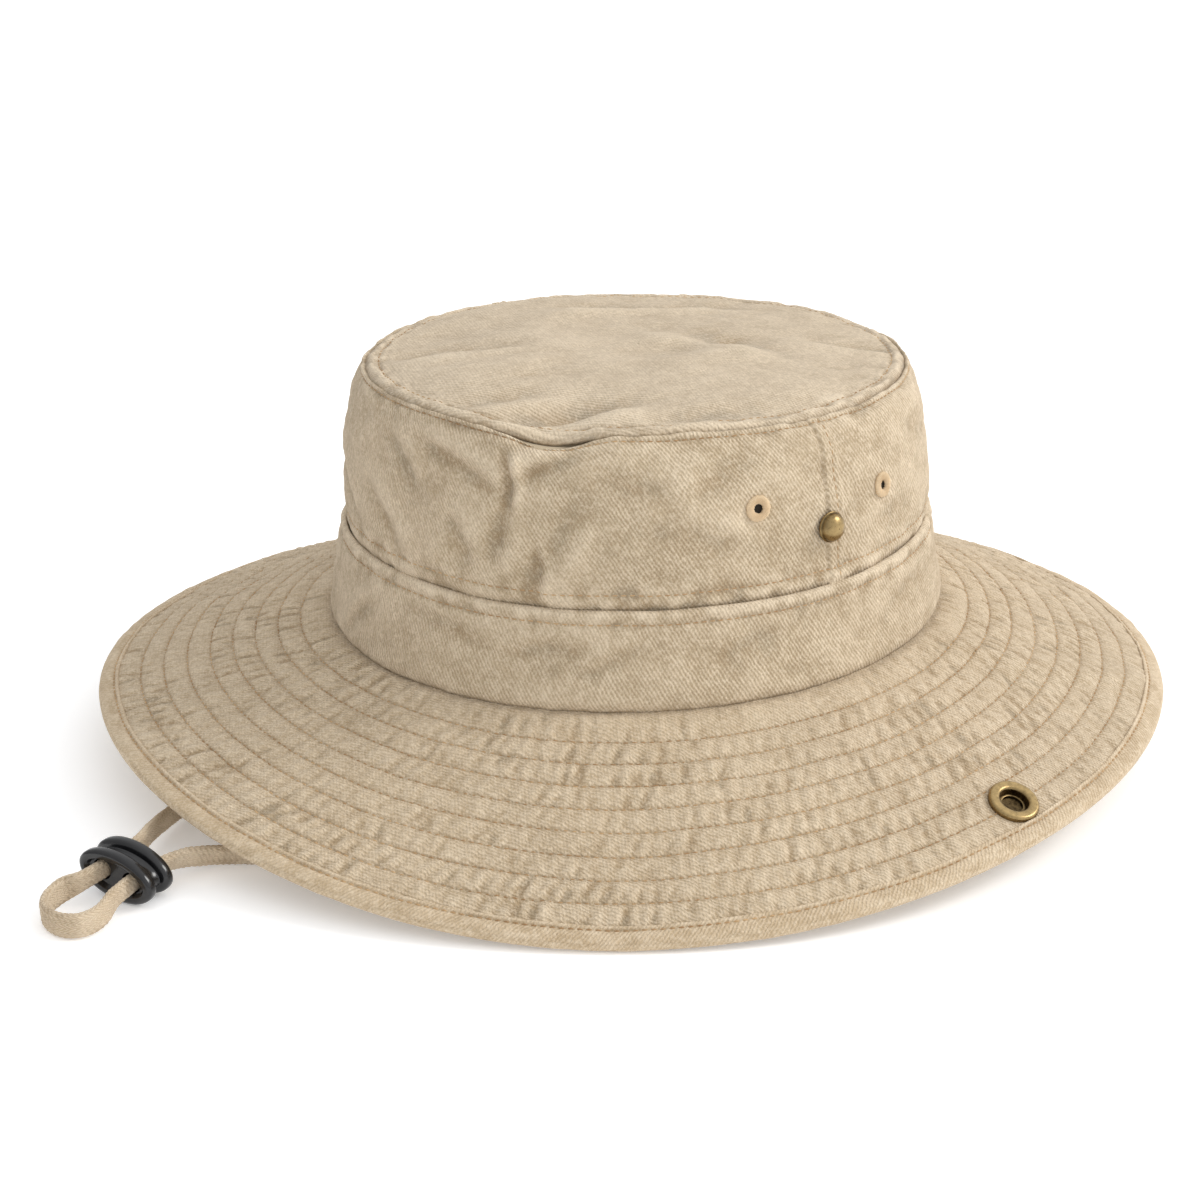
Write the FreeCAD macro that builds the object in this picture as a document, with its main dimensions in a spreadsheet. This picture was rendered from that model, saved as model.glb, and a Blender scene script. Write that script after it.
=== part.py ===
import FreeCAD, Part
import Sketcher
import math
import os

# A boonie hat: an oval cloth crown with a lower band and a wide quilted brim, brass snaps that hold
# the brim's sides up, and a flat chin cord with a two-hole toggle.
# Millimetres. +Z is up, -Y is the front of the hat, +X is the wearer's left. The origin is on the
# floor, below the middle of the crown, and the brim's edge rests on z = 0.

DIMENSIONS = [
    # Crown: four oval sections, each with its half width (X), half length (Y) and height.
    ("tip_half_width", 73.6),
    ("tip_half_length", 86.3),
    ("tip_height", 115.5),
    ("tip_lean", 2.5),              # degrees, the tip falls towards the back
    ("tip_dome", 5.0),
    ("shoulder_half_width", 85.0),
    ("shoulder_half_length", 90.5),
    ("shoulder_height", 101.0),
    ("shoulder_lean", 1.2),
    ("panel_half_width", 86.5),
    ("panel_half_length", 91.6),
    ("panel_height", 69.5),
    ("band_half_width", 90.6),
    ("band_half_length", 97.5),
    ("band_height", 40.4),
    ("crown_cloth", 1.0),
    ("panel_gap", 0.2),             # between the front and back panels at the side seams
    # Linings and tapes inside the crown.
    ("lining_gap", 0.2),
    ("sweatband_thickness", 1.0),
    ("sweatband_drop", 1.0),        # from the band's lower edge up to the sweatband's
    ("sweatband_width", 27.0),
    ("tape_thickness", 0.5),
    ("side_tape_width", 12.0),
    # Brim: three cloths, and a binding folded round the edge.
    ("brim_slope", 74.8),           # from the crown to the edge, measured down the slope
    ("brim_cloth", 0.7),
    ("interlining", 0.5),
    ("brim_inset", 0.3),            # between the brim and the crown
    ("binding_width", 6.6),
    ("binding_cloth", 0.5),
    ("binding_gap", 0.03),
    ("binding_corner", 0.6),
    ("edge_settle", 0.31),          # the edge's rounded corner lets it sit this much lower
    # Waves of the brim's edge: height in mm, and where each is highest in degrees.
    ("edge_tilt", 1.8),
    ("edge_tilt_at", 268.0),
    ("edge_saddle", 7.5),
    ("edge_saddle_at", 53.0),
    ("edge_third", 1.7),
    ("edge_third_at", 16.0),
    ("edge_fourth", 0.9),
    ("edge_fourth_at", 88.0),
    # Fold lines of the brim's sides.
    ("fold_turn", 16.0),            # degrees, the fold lines turn towards the back
    ("fold_distance", 99.5),
    ("fold_rise", 1.2),             # from the brim's top up to the fold's axis
    ("fold_gap", 0.4),
    # Snaps.
    ("stud_height", 86.5),          # above the floor
    ("stud_radius", 4.5),
    ("stud_rise", 3.6),
    ("stud_round", 2.5),
    ("shank_radius", 1.5),
    ("stud_cap_radius", 5.0),
    ("stud_cap_thickness", 0.9),
    ("snapped_gap", 3.7),           # from the crown to the brim's top when snapped
    ("socket_radius", 7.4),
    ("socket_hole", 4.15),
    ("socket_rise", 1.8),
    ("socket_round", 0.85),
    ("socket_wall", 0.7),
    ("socket_cap_radius", 6.4),
    ("socket_cap_thickness", 0.9),
    # Sewn vent eyelets.
    ("eyelet_radius", 3.9),
    ("eyelet_hole", 1.35),
    ("eyelet_thickness", 1.8),
    ("front_eyelet_at", 15.2),      # degrees forward of the side seam
    ("front_eyelet_height", 96.3),
    ("back_eyelet_at", 15.2),       # degrees behind the side seam
    ("back_eyelet_height", 92.7),
    # Chin cord, its toggle and the tabs that hold it.
    ("cord_diameter", 5.0),
    ("toggle_x", 8.6),
    ("toggle_y", -188.3),
    ("toggle_z", 7.35),
    ("toggle_turn", 22.0),          # degrees, from facing straight ahead
    ("toggle_roll", 10.0),          # degrees, its left end is lower
    ("toggle_half_width", 12.5),
    ("toggle_half_height", 7.0),
    ("toggle_length", 11.0),
    ("flange_thickness", 3.6),
    ("waist_inset", 2.3),
    ("flange_round", 1.5),
    ("toggle_hole_radius", 3.1),
    ("toggle_hole_spacing", 10.0),
    ("tab_x", 84.0),
    ("tab_thickness", 3.0),
    ("tab_width", 12.0),
    ("tab_height", 15.0),
    ("tab_foot", 42.5),
    ("cord_end_gap", 0.5),              # the cut end of the cord is square to it and stops short of the tab
]

SAMPLES = 72                        # points round a brim curve
BIG = 400.0                         # larger than the hat

document = FreeCAD.newDocument("boonie_hat")
sheet = document.addObject("Spreadsheet::Sheet", "Dimensions")
for row, (alias, number) in enumerate(DIMENSIONS, start=1):
    sheet.set("A%d" % row, alias)
    sheet.set("B%d" % row, repr(number))
    sheet.setAlias("B%d" % row, alias)
document.recompute()


def dim(alias):
    """The value of one driving dimension."""
    return float(sheet.get(alias))


def bind(thing, prop, expression):
    """Bind a property to the sheet; names of dimensions stand in braces."""
    thing.setExpression(prop, expression.replace("{", "<<Dimensions>>.").replace("}", ""))


def vector(x, y, z=0.0):
    return FreeCAD.Vector(x, y, z)


def name_node(thing, label):
    """Give a finished sub-part its node name."""
    thing.Label = label
    nodes.append(thing)
    return thing


nodes = []


# ---------------------------------------------------------------- crown

BACK_JOIN, FRONT_JOIN = 90, -90     # where an oval section's curve starts and ends


def ellipse(half_width, half_length, height, lean=0.0, join=BACK_JOIN):
    """An oval section of the crown: its long axis is front to back, and its back leans down."""
    oval = document.addObject("Part::Ellipse", "Section")
    oval.MajorRadius = half_length
    oval.MinorRadius = half_width
    quarter = FreeCAD.Rotation(vector(0, 0, 1), join)
    tilt = FreeCAD.Rotation(vector(1, 0, 0), -lean)
    oval.Placement = FreeCAD.Placement(vector(0, 0, height), tilt * quarter)
    return oval


SHOULDER = 0.7                      # the shoulder's share of the way up the side wall


def wall_level(share):
    """The side wall at a share of its height: half width, half length, height and lean."""
    levels = ((0.0, "panel"), (SHOULDER, "shoulder"), (1.0, "tip"))
    (low, foot), (high, head) = levels[:2] if share <= SHOULDER else levels[1:]
    part = (share - low) / (high - low)

    def between(quantity):
        start = dim(foot + quantity) if foot + quantity != "panel_lean" else 0.0
        return start + (dim(head + quantity) - start) * part

    return between("_half_width"), between("_half_length"), between("_height"), between("_lean")


def wall_section(share, inset, join=BACK_JOIN):
    """The side wall's section, from the band seam (share 0) to the tip seam (share 1)."""
    half_width, half_length, height, lean = wall_level(share)
    return ellipse(half_width - inset, half_length - inset, height, lean, join)


def band_section(share, inset, join=BACK_JOIN):
    """The lower band's section, from the brim (share 0) to the band seam (share 1)."""
    half_width = (1 - share) * dim("band_half_width") + share * dim("panel_half_width")
    half_length = (1 - share) * dim("band_half_length") + share * dim("panel_half_length")
    height = (1 - share) * dim("band_height") + share * dim("panel_height")
    return ellipse(half_width - inset, half_length - inset, height, 0.0, join)


def loft(sections):
    solid = document.addObject("Part::Loft", "Loft")
    solid.Sections = sections
    solid.Solid = True
    solid.Ruled = True
    return solid


def cut(base, tool):
    result = document.addObject("Part::Cut", "Cut")
    result.Base = base
    result.Tool = tool
    return result


def common(base, tool):
    result = document.addObject("Part::Common", "Common")
    result.Base = base
    result.Tool = tool
    return result


def fuse(pieces):
    result = document.addObject("Part::MultiFuse", "Fusion")
    result.Shapes = pieces
    return result


def ring(section, shares, inset, thickness, join=BACK_JOIN):
    """A cloth ring that follows a wall through the given shares of its height."""
    outer = loft([section(share, inset, join) for share in shares])
    inner = loft([section(share, inset + thickness, join) for share in shares])
    return cut(outer, inner)


def half_space(side):
    """A box that holds everything behind (side 1) or in front (side -1) of the side seams."""
    box = document.addObject("Part::Box", "HalfSpace")
    box.Length, box.Width, box.Height = BIG, BIG, BIG
    box.Placement.Base = vector(-BIG / 2, dim("panel_gap") / 2 if side > 0 else -BIG - dim("panel_gap") / 2, 0)
    return box


def wall_point(angle, height):
    """A point of the side wall below its shoulder, and the wall's outward normal there."""
    turn = math.radians(angle)

    def point(at, share):
        half_width, half_length, level, lean = wall_level(share)
        along = half_length * math.sin(at)
        tilt = math.radians(lean)
        return vector(half_width * math.cos(at), along * math.cos(tilt), level - along * math.sin(tilt))

    foot, head = point(turn, 0), point(turn, SHOULDER)
    share = SHOULDER * (height - foot.z) / (head.z - foot.z)
    step = 0.001
    across = point(turn + step, share) - point(turn - step, share)
    normal = across.cross(head - foot)
    return point(turn, share), normal.normalize()


def on_surface(point, normal, lift=0.0):
    """A placement whose Z axis is the surface's normal."""
    return FreeCAD.Placement(point + normal * lift, FreeCAD.Rotation(vector(0, 0, 1), normal))


def peg(radius, length, place):
    """A cylinder centred on a placement, used to cut a hole."""
    cylinder = document.addObject("Part::Cylinder", "Peg")
    bind(cylinder, "Radius", radius)
    cylinder.Height = length
    cylinder.Placement = place.multiply(FreeCAD.Placement(vector(0, 0, -length / 2), FreeCAD.Rotation()))
    return cylinder


def stud_place(side, lift=0.0):
    point, normal = wall_point(0 if side > 0 else 180, dim("stud_height"))
    return on_surface(point, normal, lift)


def eyelet_places():
    """The four sewn eyelets: one each side of both side seams."""
    places = []
    for side in (1, -1):
        for angle, height in ((-dim("front_eyelet_at"), dim("front_eyelet_height")),
                              (dim("back_eyelet_at"), dim("back_eyelet_height"))):
            point, normal = wall_point(angle if side > 0 else 180 - angle, height)
            places.append(on_surface(point, normal, -dim("crown_cloth") / 2))
    return places


def build_crown():
    tools = [peg("{eyelet_radius}", 8, place) for place in eyelet_places()]
    tools += [peg("{shank_radius} + 0.1", 12, stud_place(side)) for side in (1, -1)]
    for side, label, join in ((-1, "side_panel_front", BACK_JOIN), (1, "side_panel_back", FRONT_JOIN)):
        wall = ring(wall_section, (0, SHOULDER, 1), 0, dim("crown_cloth"), join)
        name_node(cut(common(wall, half_space(side)), fuse(tools)), label)
    name_node(ring(band_section, (0, 1), 0, dim("crown_cloth")), "lower_band")

    cloth = dim("crown_cloth")
    tip = []
    for inset, drop in ((0.0, 0.0), (cloth, cloth)):
        layers = []
        for share, rise in ((1.0, 0.0), (0.8, 0.5), (0.5, 0.85), (0.2, 1.0)):
            section = ellipse(share * dim("tip_half_width") - inset, share * dim("tip_half_length") - inset,
                              dim("tip_height") + cloth + rise * dim("tip_dome") - drop, dim("tip_lean"))
            layers.append(section)
        tip.append(loft(layers))
    name_node(cut(tip[0], tip[1]), "crown_tip")


def build_linings():
    inset = dim("crown_cloth") + dim("lining_gap")
    rise = dim("panel_height") - dim("band_height")
    low = dim("sweatband_drop") / rise
    high = (dim("sweatband_drop") + dim("sweatband_width")) / rise
    name_node(ring(band_section, (low, high), inset, dim("sweatband_thickness")), "sweatband")
    name_node(ring(wall_section, (0.01, 0.15), inset, dim("tape_thickness")), "band_seam_tape")
    name_node(ring(wall_section, (0.72, 0.98), inset, dim("tape_thickness")), "tip_seam_tape")
    for side, label in ((1, "side_seam_tape_left"), (-1, "side_seam_tape_right")):
        strip = ring(wall_section, (0.17, 0.69), inset, dim("tape_thickness"))
        box = document.addObject("Part::Box", "Strip")
        box.Length, box.Height = BIG, BIG
        bind(box, "Width", "{side_tape_width}")
        box.Placement.Base = vector(0 if side > 0 else -BIG, -dim("side_tape_width") / 2, 0)
        name_node(cut(common(strip, box), peg("{shank_radius} + 0.1", 12, stud_place(side))), label)


# ---------------------------------------------------------------- turned metal parts

def profile(body, plane_role, corners):
    """A closed sketch whose corners are bound to the sheet, each corner a pair of expressions."""
    sketch = body.newObject("Sketcher::SketchObject", "Profile")
    plane = [item for item in body.Origin.OriginFeatures if item.Role == plane_role][0]
    sketch.AttachmentSupport = (plane, [""])
    sketch.MapMode = "FlatFace"
    probe = document.addObject("App::FeaturePython", "Probe")
    probe.addProperty("App::PropertyFloat", "Value")
    places = []
    for corner in corners:
        place = []
        for text in corner:
            bind(probe, "Value", text)
            document.recompute()
            place.append(probe.Value)
        places.append(vector(*place))
    document.removeObject(probe.Name)
    count = len(corners)
    for index in range(count):
        sketch.addGeometry(Part.LineSegment(places[index], places[(index + 1) % count]), False)
    for index in range(count):
        sketch.addConstraint(Sketcher.Constraint("Coincident", index, 2, (index + 1) % count, 1))
        for kind, value, text, axis in (("DistanceX", places[index].x, corners[index][0], -2),
                                        ("DistanceY", places[index].y, corners[index][1], -1)):
            if abs(value) < 1e-9:
                sketch.addConstraint(Sketcher.Constraint("PointOnObject", index, 1, axis))
            else:
                number = sketch.addConstraint(Sketcher.Constraint(kind, -1, 1, index, 1, value))
                bind(sketch, "Constraints[%d]" % number, text)
    document.recompute()
    return sketch


def turned(label, corners, place):
    """A body turned about its Z axis, from a half profile of (radius, height) corners."""
    body = document.addObject("PartDesign::Body", "Body")
    sketch = profile(body, "XZ_Plane", corners)
    turn = body.newObject("PartDesign::Revolution", "Turn")
    turn.Profile = sketch
    turn.ReferenceAxis = (sketch, ["V_Axis"])
    turn.Angle = 360
    sketch.Visibility = False
    body.Tip = turn
    document.recompute()
    body.Placement = place
    return name_node(body, label)


def round_edges(body, expression, wanted):
    """Round the round edges that the test picks, by their radius and height."""
    base = body.Tip
    picked = []
    for number, edge in enumerate(base.Shape.Edges, start=1):
        if edge.Curve.TypeId == "Part::GeomCircle" and wanted(edge.Curve.Radius, edge.Curve.Center.z):
            picked.append("Edge%d" % number)
    fillet = body.newObject("PartDesign::Fillet", "Round")
    fillet.Base = (base, picked)
    bind(fillet, "Radius", expression)
    body.Tip = fillet
    document.recompute()


def build_stud(side, word):
    """A domed stud on the side seam, and the flat cap behind it that its shank is closed into."""
    seat = -(dim("crown_cloth") + dim("lining_gap") + dim("tape_thickness") + 0.2)
    place = stud_place(side, 0.02)
    plain = FreeCAD.Placement()
    shank = "-({crown_cloth} + {lining_gap} + {tape_thickness} + 0.2)"
    stud = turned("stud_" + word, [("0", shank), ("{shank_radius}", shank), ("{shank_radius}", "0"),
                                   ("{stud_radius}", "0"), ("{stud_radius}", "{stud_rise}"),
                                   ("0", "{stud_rise}")], plain)
    top = dim("stud_rise")
    round_edges(stud, "{stud_round}", lambda radius, height: abs(height - top) < 0.01)
    stud.Placement = place
    turned("stud_cap_" + word, [("0", "0"), ("{stud_cap_radius}", "0"),
                                ("{stud_cap_radius}", "-{stud_cap_thickness}"),
                                ("0", "-{stud_cap_thickness}")], stud_place(side, seat))


# ---------------------------------------------------------------- brim

def edge_wave(angle):
    """How the brim's edge rises and falls round the hat, before it is set on the floor."""
    waves = (("edge_tilt", 1), ("edge_saddle", 2), ("edge_third", 3), ("edge_fourth", 4))
    return sum(dim(name) * math.cos(order * (angle - math.radians(dim(name + "_at"))))
               for name, order in waves)


def brim_depth():
    """From the edge's top face down to the floor, where the edge is lowest."""
    cloths = 2 * dim("brim_cloth") + dim("interlining") + dim("binding_cloth")
    return cloths + dim("binding_gap") - dim("edge_settle")


FULL_TURN = [2 * math.pi * step / SAMPLES for step in range(SAMPLES)]
LOWEST_WAVE = min(edge_wave(2 * math.pi * step / 720) for step in range(720))


def brim_point(angle, distance):
    """A point of the brim's top face: an angle round the crown and a distance down the slope."""
    inner = vector(dim("band_half_width") * math.cos(angle), dim("band_half_length") * math.sin(angle),
                   dim("band_height"))
    outward = vector(math.cos(angle) / dim("band_half_width"), math.sin(angle) / dim("band_half_length"))
    outward.normalize()
    slope = dim("brim_slope")
    drop = dim("band_height") - brim_depth() - (edge_wave(angle) - LOWEST_WAVE)
    reach = math.sqrt(slope ** 2 - drop ** 2)
    return inner + (outward * reach - vector(0, 0, drop)) * (distance / slope)


def brim_solid(corners):
    """A closed ring round the brim, from section corners of (distance down the slope, rise)."""
    steps = [step / SAMPLES for step in range(SAMPLES + 1)]
    edges = []
    for distance, rise in corners:
        curve = Part.BSplineCurve()
        points = [brim_point(angle, distance) + vector(0, 0, rise) for angle in FULL_TURN]
        curve.interpolate(Points=points, PeriodicFlag=True, Parameters=steps)
        edges.append(curve.toShape())
    faces = [Part.makeRuledSurface(edges[index], edges[(index + 1) % len(edges)])
             for index in range(len(edges))]
    shell = Part.makeShell(faces)
    shell.sewShape()
    solid = Part.makeSolid(shell)
    if solid.Volume < 0:
        solid.reverse()
    return solid


def fold_frame(side):
    """A placement with X across the fold line, outward, and Y along it."""
    turn = dim("fold_turn") if side > 0 else 180 - dim("fold_turn")
    return FreeCAD.Placement(vector(0, 0, 0), FreeCAD.Rotation(vector(0, 0, 1), turn))


def beyond_fold(side, gap):
    """A box that holds all that is outside a fold line, less a gap."""
    box = Part.makeBox(BIG, 2 * BIG, 2 * BIG, vector(dim("fold_distance") + gap, -BIG, -BIG))
    box.Placement = fold_frame(side)
    return box


def brim_height(x, y):
    """The height of the brim's top face at a place in plan."""
    angle = math.atan2(y, x)
    for _ in range(30):
        inner = brim_point(angle, 0)
        outward = brim_point(angle, dim("brim_slope")) - inner
        along = vector(-outward.y, outward.x).normalize()
        miss = vector(x, y) - vector(inner.x, inner.y)
        angle += miss.dot(along) / (math.hypot(x, y) + 1)
    reach = math.hypot(outward.x, outward.y)
    return inner.z + outward.z * math.hypot(miss.x, miss.y) / reach


def fold_axis_height(side):
    turn = math.radians(dim("fold_turn"))
    distance = dim("fold_distance")
    return brim_height(side * distance * math.cos(turn), distance * math.sin(turn)) + dim("fold_rise")


def snap_geometry(side):
    """Where a socket lies at rest, its normal there, and the turn that brings it to the stud.

    The place and the normal are those of a left socket. For the right one they are found with the
    right side's heights, and are then mirrored.
    """
    point, normal = wall_point(0, dim("stud_height"))
    meet = point + normal * dim("snapped_gap")
    turn = math.radians(dim("fold_turn"))
    across, along = vector(math.cos(turn), math.sin(turn)), vector(-math.sin(turn), math.cos(turn))
    axis_height = fold_axis_height(side)
    meet_across = meet.dot(across) - dim("fold_distance")
    arm = math.hypot(meet_across, meet.z - axis_height)
    shift = meet.dot(along)

    def place(reach):
        spot = across * (dim("fold_distance") + reach) + along * shift
        return on_brim(spot)

    def on_brim(spot):
        return vector(spot.x, spot.y, brim_height(side * spot.x, spot.y))

    near, far = 0.0, arm
    for _ in range(40):
        middle = (near + far) / 2
        if math.hypot(middle, place(middle).z - axis_height) < arm:
            near = middle
        else:
            far = middle
    centre = place(near)
    step = 0.5
    slope_across = (place(near + step) - place(near - step))
    slope_along = on_brim(centre + along * step) - on_brim(centre - along * step)
    upward = slope_across.cross(slope_along).normalize()
    at_rest = math.atan2(centre.z - axis_height, near)
    snapped = math.atan2(meet.z - axis_height, meet_across)
    return centre, upward, math.degrees(snapped - at_rest)


def mirrored(item, side):
    """A point or direction of the left side, carried to the other side of the hat."""
    return vector(item.x * side, item.y, item.z)


def brim_layers():
    """The brim's cloths from the top down: name, and the rise of the top and bottom faces."""
    cloth, middle = dim("brim_cloth"), dim("interlining")
    return (("brim_top", 0.0, -cloth),
            ("brim_interlining", -cloth, -cloth - middle),
            ("brim_under", -cloth - middle, -2 * cloth - middle))


def binding_corners():
    """The section of the folded binding: outside round the edge, then back along the inside."""
    cloth, gap = dim("binding_cloth"), dim("binding_gap")
    under = -2 * dim("brim_cloth") - dim("interlining")
    edge, start = dim("brim_slope"), dim("brim_slope") - dim("binding_width")
    corner = dim("binding_corner")
    return [(start, cloth + gap), (edge - corner, cloth + gap), (edge, cloth + gap - corner),
            (edge, under - cloth - gap + corner), (edge - corner, under - cloth - gap),
            (start, under - cloth - gap), (start, under - gap), (edge - cloth, under - gap),
            (edge - cloth, gap), (start, gap)]


def shape_node(shape, label):
    """A sub-part whose shape is set here, because it follows the brim's wave."""
    feature = document.addObject("Part::Feature", "Shape")
    feature.Shape = shape
    return name_node(feature, label)


def build_brim():
    half_gap = dim("fold_gap") / 2
    holes = []
    rims = []
    for side in (1, -1):
        centre, upward, _ = snap_geometry(side)
        hole = Part.makeCylinder(dim("socket_hole") + dim("socket_wall") + 0.1, 12, vector(0, 0, -6))
        hole.Placement = on_surface(mirrored(centre, side), mirrored(upward, side))
        holes.append(hole)
        rim = Part.makeCylinder(dim("socket_radius") + 0.1, 6)
        rim.Placement = hole.Placement
        rims.append(rim)
    layer_end = dim("brim_slope") - dim("binding_cloth") - dim("binding_gap")
    for name, top, bottom in brim_layers():
        start = dim("brim_inset")
        whole = brim_solid([(start, top), (layer_end, top), (layer_end, bottom), (start, bottom)])
        middle = whole
        for side, word in ((1, "left"), (-1, "right")):
            flap = whole.common(beyond_fold(side, half_gap)).cut(holes[0 if side > 0 else 1])
            shape_node(flap, name + "_" + word)
            middle = middle.cut(beyond_fold(side, -half_gap))
        shape_node(middle, name + "_middle")

    binding = brim_solid(binding_corners())
    rest = binding
    for side, word in ((1, "left"), (-1, "right")):
        flap = binding.common(beyond_fold(side, half_gap))
        # The socket's rim is pressed into the inner edge of the binding.
        shape_node(flap.cut(rims[0 if side > 0 else 1]), "brim_binding_" + word)
        rest = rest.cut(beyond_fold(side, -half_gap))
    for solid in rest.Solids:
        shape_node(solid, "brim_binding_front" if solid.CenterOfMass.y < 0 else "brim_binding_back")


def build_socket(side, word):
    """The ring on the brim that the stud snaps into, and the cap that closes it from below."""
    centre, upward, _ = snap_geometry(side)
    place = on_surface(mirrored(centre, side), mirrored(upward, side), 0.02)
    under = "-(2 * {brim_cloth} + {interlining} + 0.25)"
    socket = turned("socket_ring_" + word,
                    [("{socket_hole}", under), ("{socket_hole} + {socket_wall}", under),
                     ("{socket_hole} + {socket_wall}", "0"), ("{socket_radius}", "0"),
                     ("{socket_radius}", "{socket_rise}"), ("{socket_hole}", "{socket_rise}")],
                    FreeCAD.Placement())
    top = dim("socket_rise")
    round_edges(socket, "{socket_round}", lambda radius, height: abs(height - top) < 0.01)
    socket.Placement = place
    low = under + " - {socket_cap_thickness}"
    turned("socket_cap_" + word, [("0", under), ("{socket_cap_radius}", under),
                                  ("{socket_cap_radius}", low), ("0", low)], place)


# ---------------------------------------------------------------- sewn eyelets

def build_eyelets():
    rings = []
    for place in eyelet_places():
        length = dim("eyelet_thickness")
        outer = Part.makeCylinder(dim("eyelet_radius") - 0.02, length, vector(0, 0, -length / 2))
        ring_shape = outer.cut(Part.makeCylinder(dim("eyelet_hole"), length, vector(0, 0, -length / 2)))
        ring_shape.Placement = place
        rings.append(ring_shape)
    shape_node(Part.makeCompound(rings), "vent_eyelets")


# ---------------------------------------------------------------- chin cord

def toggle_place():
    spin = FreeCAD.Rotation(vector(0, 0, 1), dim("toggle_turn"))
    roll = FreeCAD.Rotation(vector(0, 1, 0), dim("toggle_roll"))
    return FreeCAD.Placement(vector(dim("toggle_x"), dim("toggle_y"), dim("toggle_z")), spin * roll)


def strand_point(side, along):
    """A point of a straight strand in the toggle: side -1 or 1, and a distance out in front."""
    return toggle_place().multVec(vector(side * dim("toggle_hole_spacing") / 2, -along, 0))


def cord_route():
    """The cord's corners, from the right tab, out through the toggle, round its loop and back."""
    foot = dim("tab_foot") - dim("cord_end_gap")
    return [
        vector(-84.0, 0.0, foot), vector(-83.0, -3.0, 22.0), vector(-76.5, -20.0, 5.8),
        vector(-65.5, -50.0, 3.8), vector(-52.5, -86.0, 3.8), vector(-38.0, -119.5, 3.8),
        vector(-26.0, -145.0, 4.0), vector(-15.8, -161.5, 5.0), vector(-8.0, -171.8, 6.8),
        strand_point(-1, -12.0), strand_point(-1, 11.0),
        vector(4.3, -205.9, 5.6), vector(7.2, -213.3, 3.8), vector(15.5, -215.6, 3.8),
        vector(22.8, -211.4, 3.8), vector(23.3, -203.7, 4.6),
        strand_point(1, 11.0), strand_point(1, -12.0),
        vector(11.5, -162.7, 4.8), vector(18.3, -151.4, 3.8), vector(30.6, -130.0, 3.8),
        vector(44.5, -99.5, 3.8), vector(58.3, -65.0, 3.8), vector(70.3, -36.0, 3.8),
        vector(78.0, -15.0, 6.4), vector(83.0, -3.0, 22.0), vector(84.0, 0.0, foot),
    ]


def rounded_wire(points):
    """Straight runs joined by tangent arcs, each as large as its two runs allow."""
    edges = []
    start = points[0]
    radii = []
    for before, corner, after in zip(points, points[1:], points[2:]):
        back, ahead = before - corner, after - corner
        half_turn = (math.pi - back.getAngle(ahead)) / 2
        setback = 0.45 * min(back.Length, ahead.Length)
        radii.append(setback / math.tan(half_turn))
        back.normalize()
        ahead.normalize()
        enter, leave = corner + back * setback, corner + ahead * setback
        inward = (back + ahead).normalize()
        middle = corner + inward * (radii[-1] / math.cos(half_turn) - radii[-1])
        edges.append(Part.LineSegment(start, enter).toShape())
        edges.append(Part.Arc(enter, middle, leave).toShape())
        start = leave
    edges.append(Part.LineSegment(start, points[-1]).toShape())
    print("cord radii:", " ".join("%.1f" % radius for radius in radii))
    return Part.Wire(edges)


def build_cord():
    wire = rounded_wire(cord_route())
    radius = dim("cord_diameter") / 2
    points = cord_route()
    section = Part.Wire([Part.Circle(points[0], points[1] - points[0], radius).toShape()])
    tube = wire.makePipeShell([section], True, False)
    expected = math.pi * radius ** 2 * wire.Length
    print("cord length %.1f mm, volume %.0f, section x length %.0f" % (wire.Length, tube.Volume, expected))
    shape_node(tube, "chin_cord")
    for side, word in ((1, "left"), (-1, "right")):
        tab = document.addObject("Part::Box", "Tab")
        bind(tab, "Length", "{tab_thickness}")
        bind(tab, "Width", "{tab_width}")
        bind(tab, "Height", "{tab_height}")
        corner = vector(side * dim("tab_x") - dim("tab_thickness") / 2, -dim("tab_width") / 2, dim("tab_foot"))
        tab.Placement.Base = corner
        name_node(tab, "cord_tab_" + word)


def slice_of_toggle(inset, low, length):
    """An oval slice of the toggle, about its Z axis before it is turned to face forward."""
    oval = document.addObject("Part::Ellipse", "Oval")
    bind(oval, "MajorRadius", "{toggle_half_width} - " + inset)
    bind(oval, "MinorRadius", "{toggle_half_height} - " + inset)
    oval.Placement.Base = vector(0, 0, low)
    solid = document.addObject("Part::Extrusion", "Slice")
    solid.Base = oval
    solid.DirMode = "Custom"
    solid.Dir = vector(0, 0, 1)
    solid.LengthFwd = length
    solid.Solid = True
    return solid


def build_toggle():
    """Two oval flanges on a waist, with a hole through for each strand of the cord."""
    half, flange = dim("toggle_length") / 2, dim("flange_thickness")
    slices = [slice_of_toggle("0", -half, flange),
              slice_of_toggle("{waist_inset}", -half + flange, 2 * (half - flange)),
              slice_of_toggle("0", half - flange, flange)]
    holes = []
    for side in (1, -1):
        place = FreeCAD.Placement(vector(side * dim("toggle_hole_spacing") / 2, 0, 0), FreeCAD.Rotation())
        holes.append(peg("{toggle_hole_radius}", 30, place))
    blank = cut(fuse(slices), fuse(holes))
    document.recompute()
    fillet = document.addObject("Part::Fillet", "ToggleRound")
    fillet.Base = blank
    picked = []
    for number, edge in enumerate(blank.Shape.Edges, start=1):
        if edge.Curve.TypeId == "Part::GeomEllipse" and edge.Curve.MajorRadius > dim("toggle_half_width") - 0.1:
            picked.append((number, dim("flange_round"), dim("flange_round")))
    fillet.Edges = picked
    upright = FreeCAD.Placement(vector(0, 0, 0), FreeCAD.Rotation(vector(1, 0, 0), 90))
    fillet.Placement = toggle_place().multiply(upright)
    name_node(fillet, "cord_toggle")


# ---------------------------------------------------------------- build and write

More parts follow.
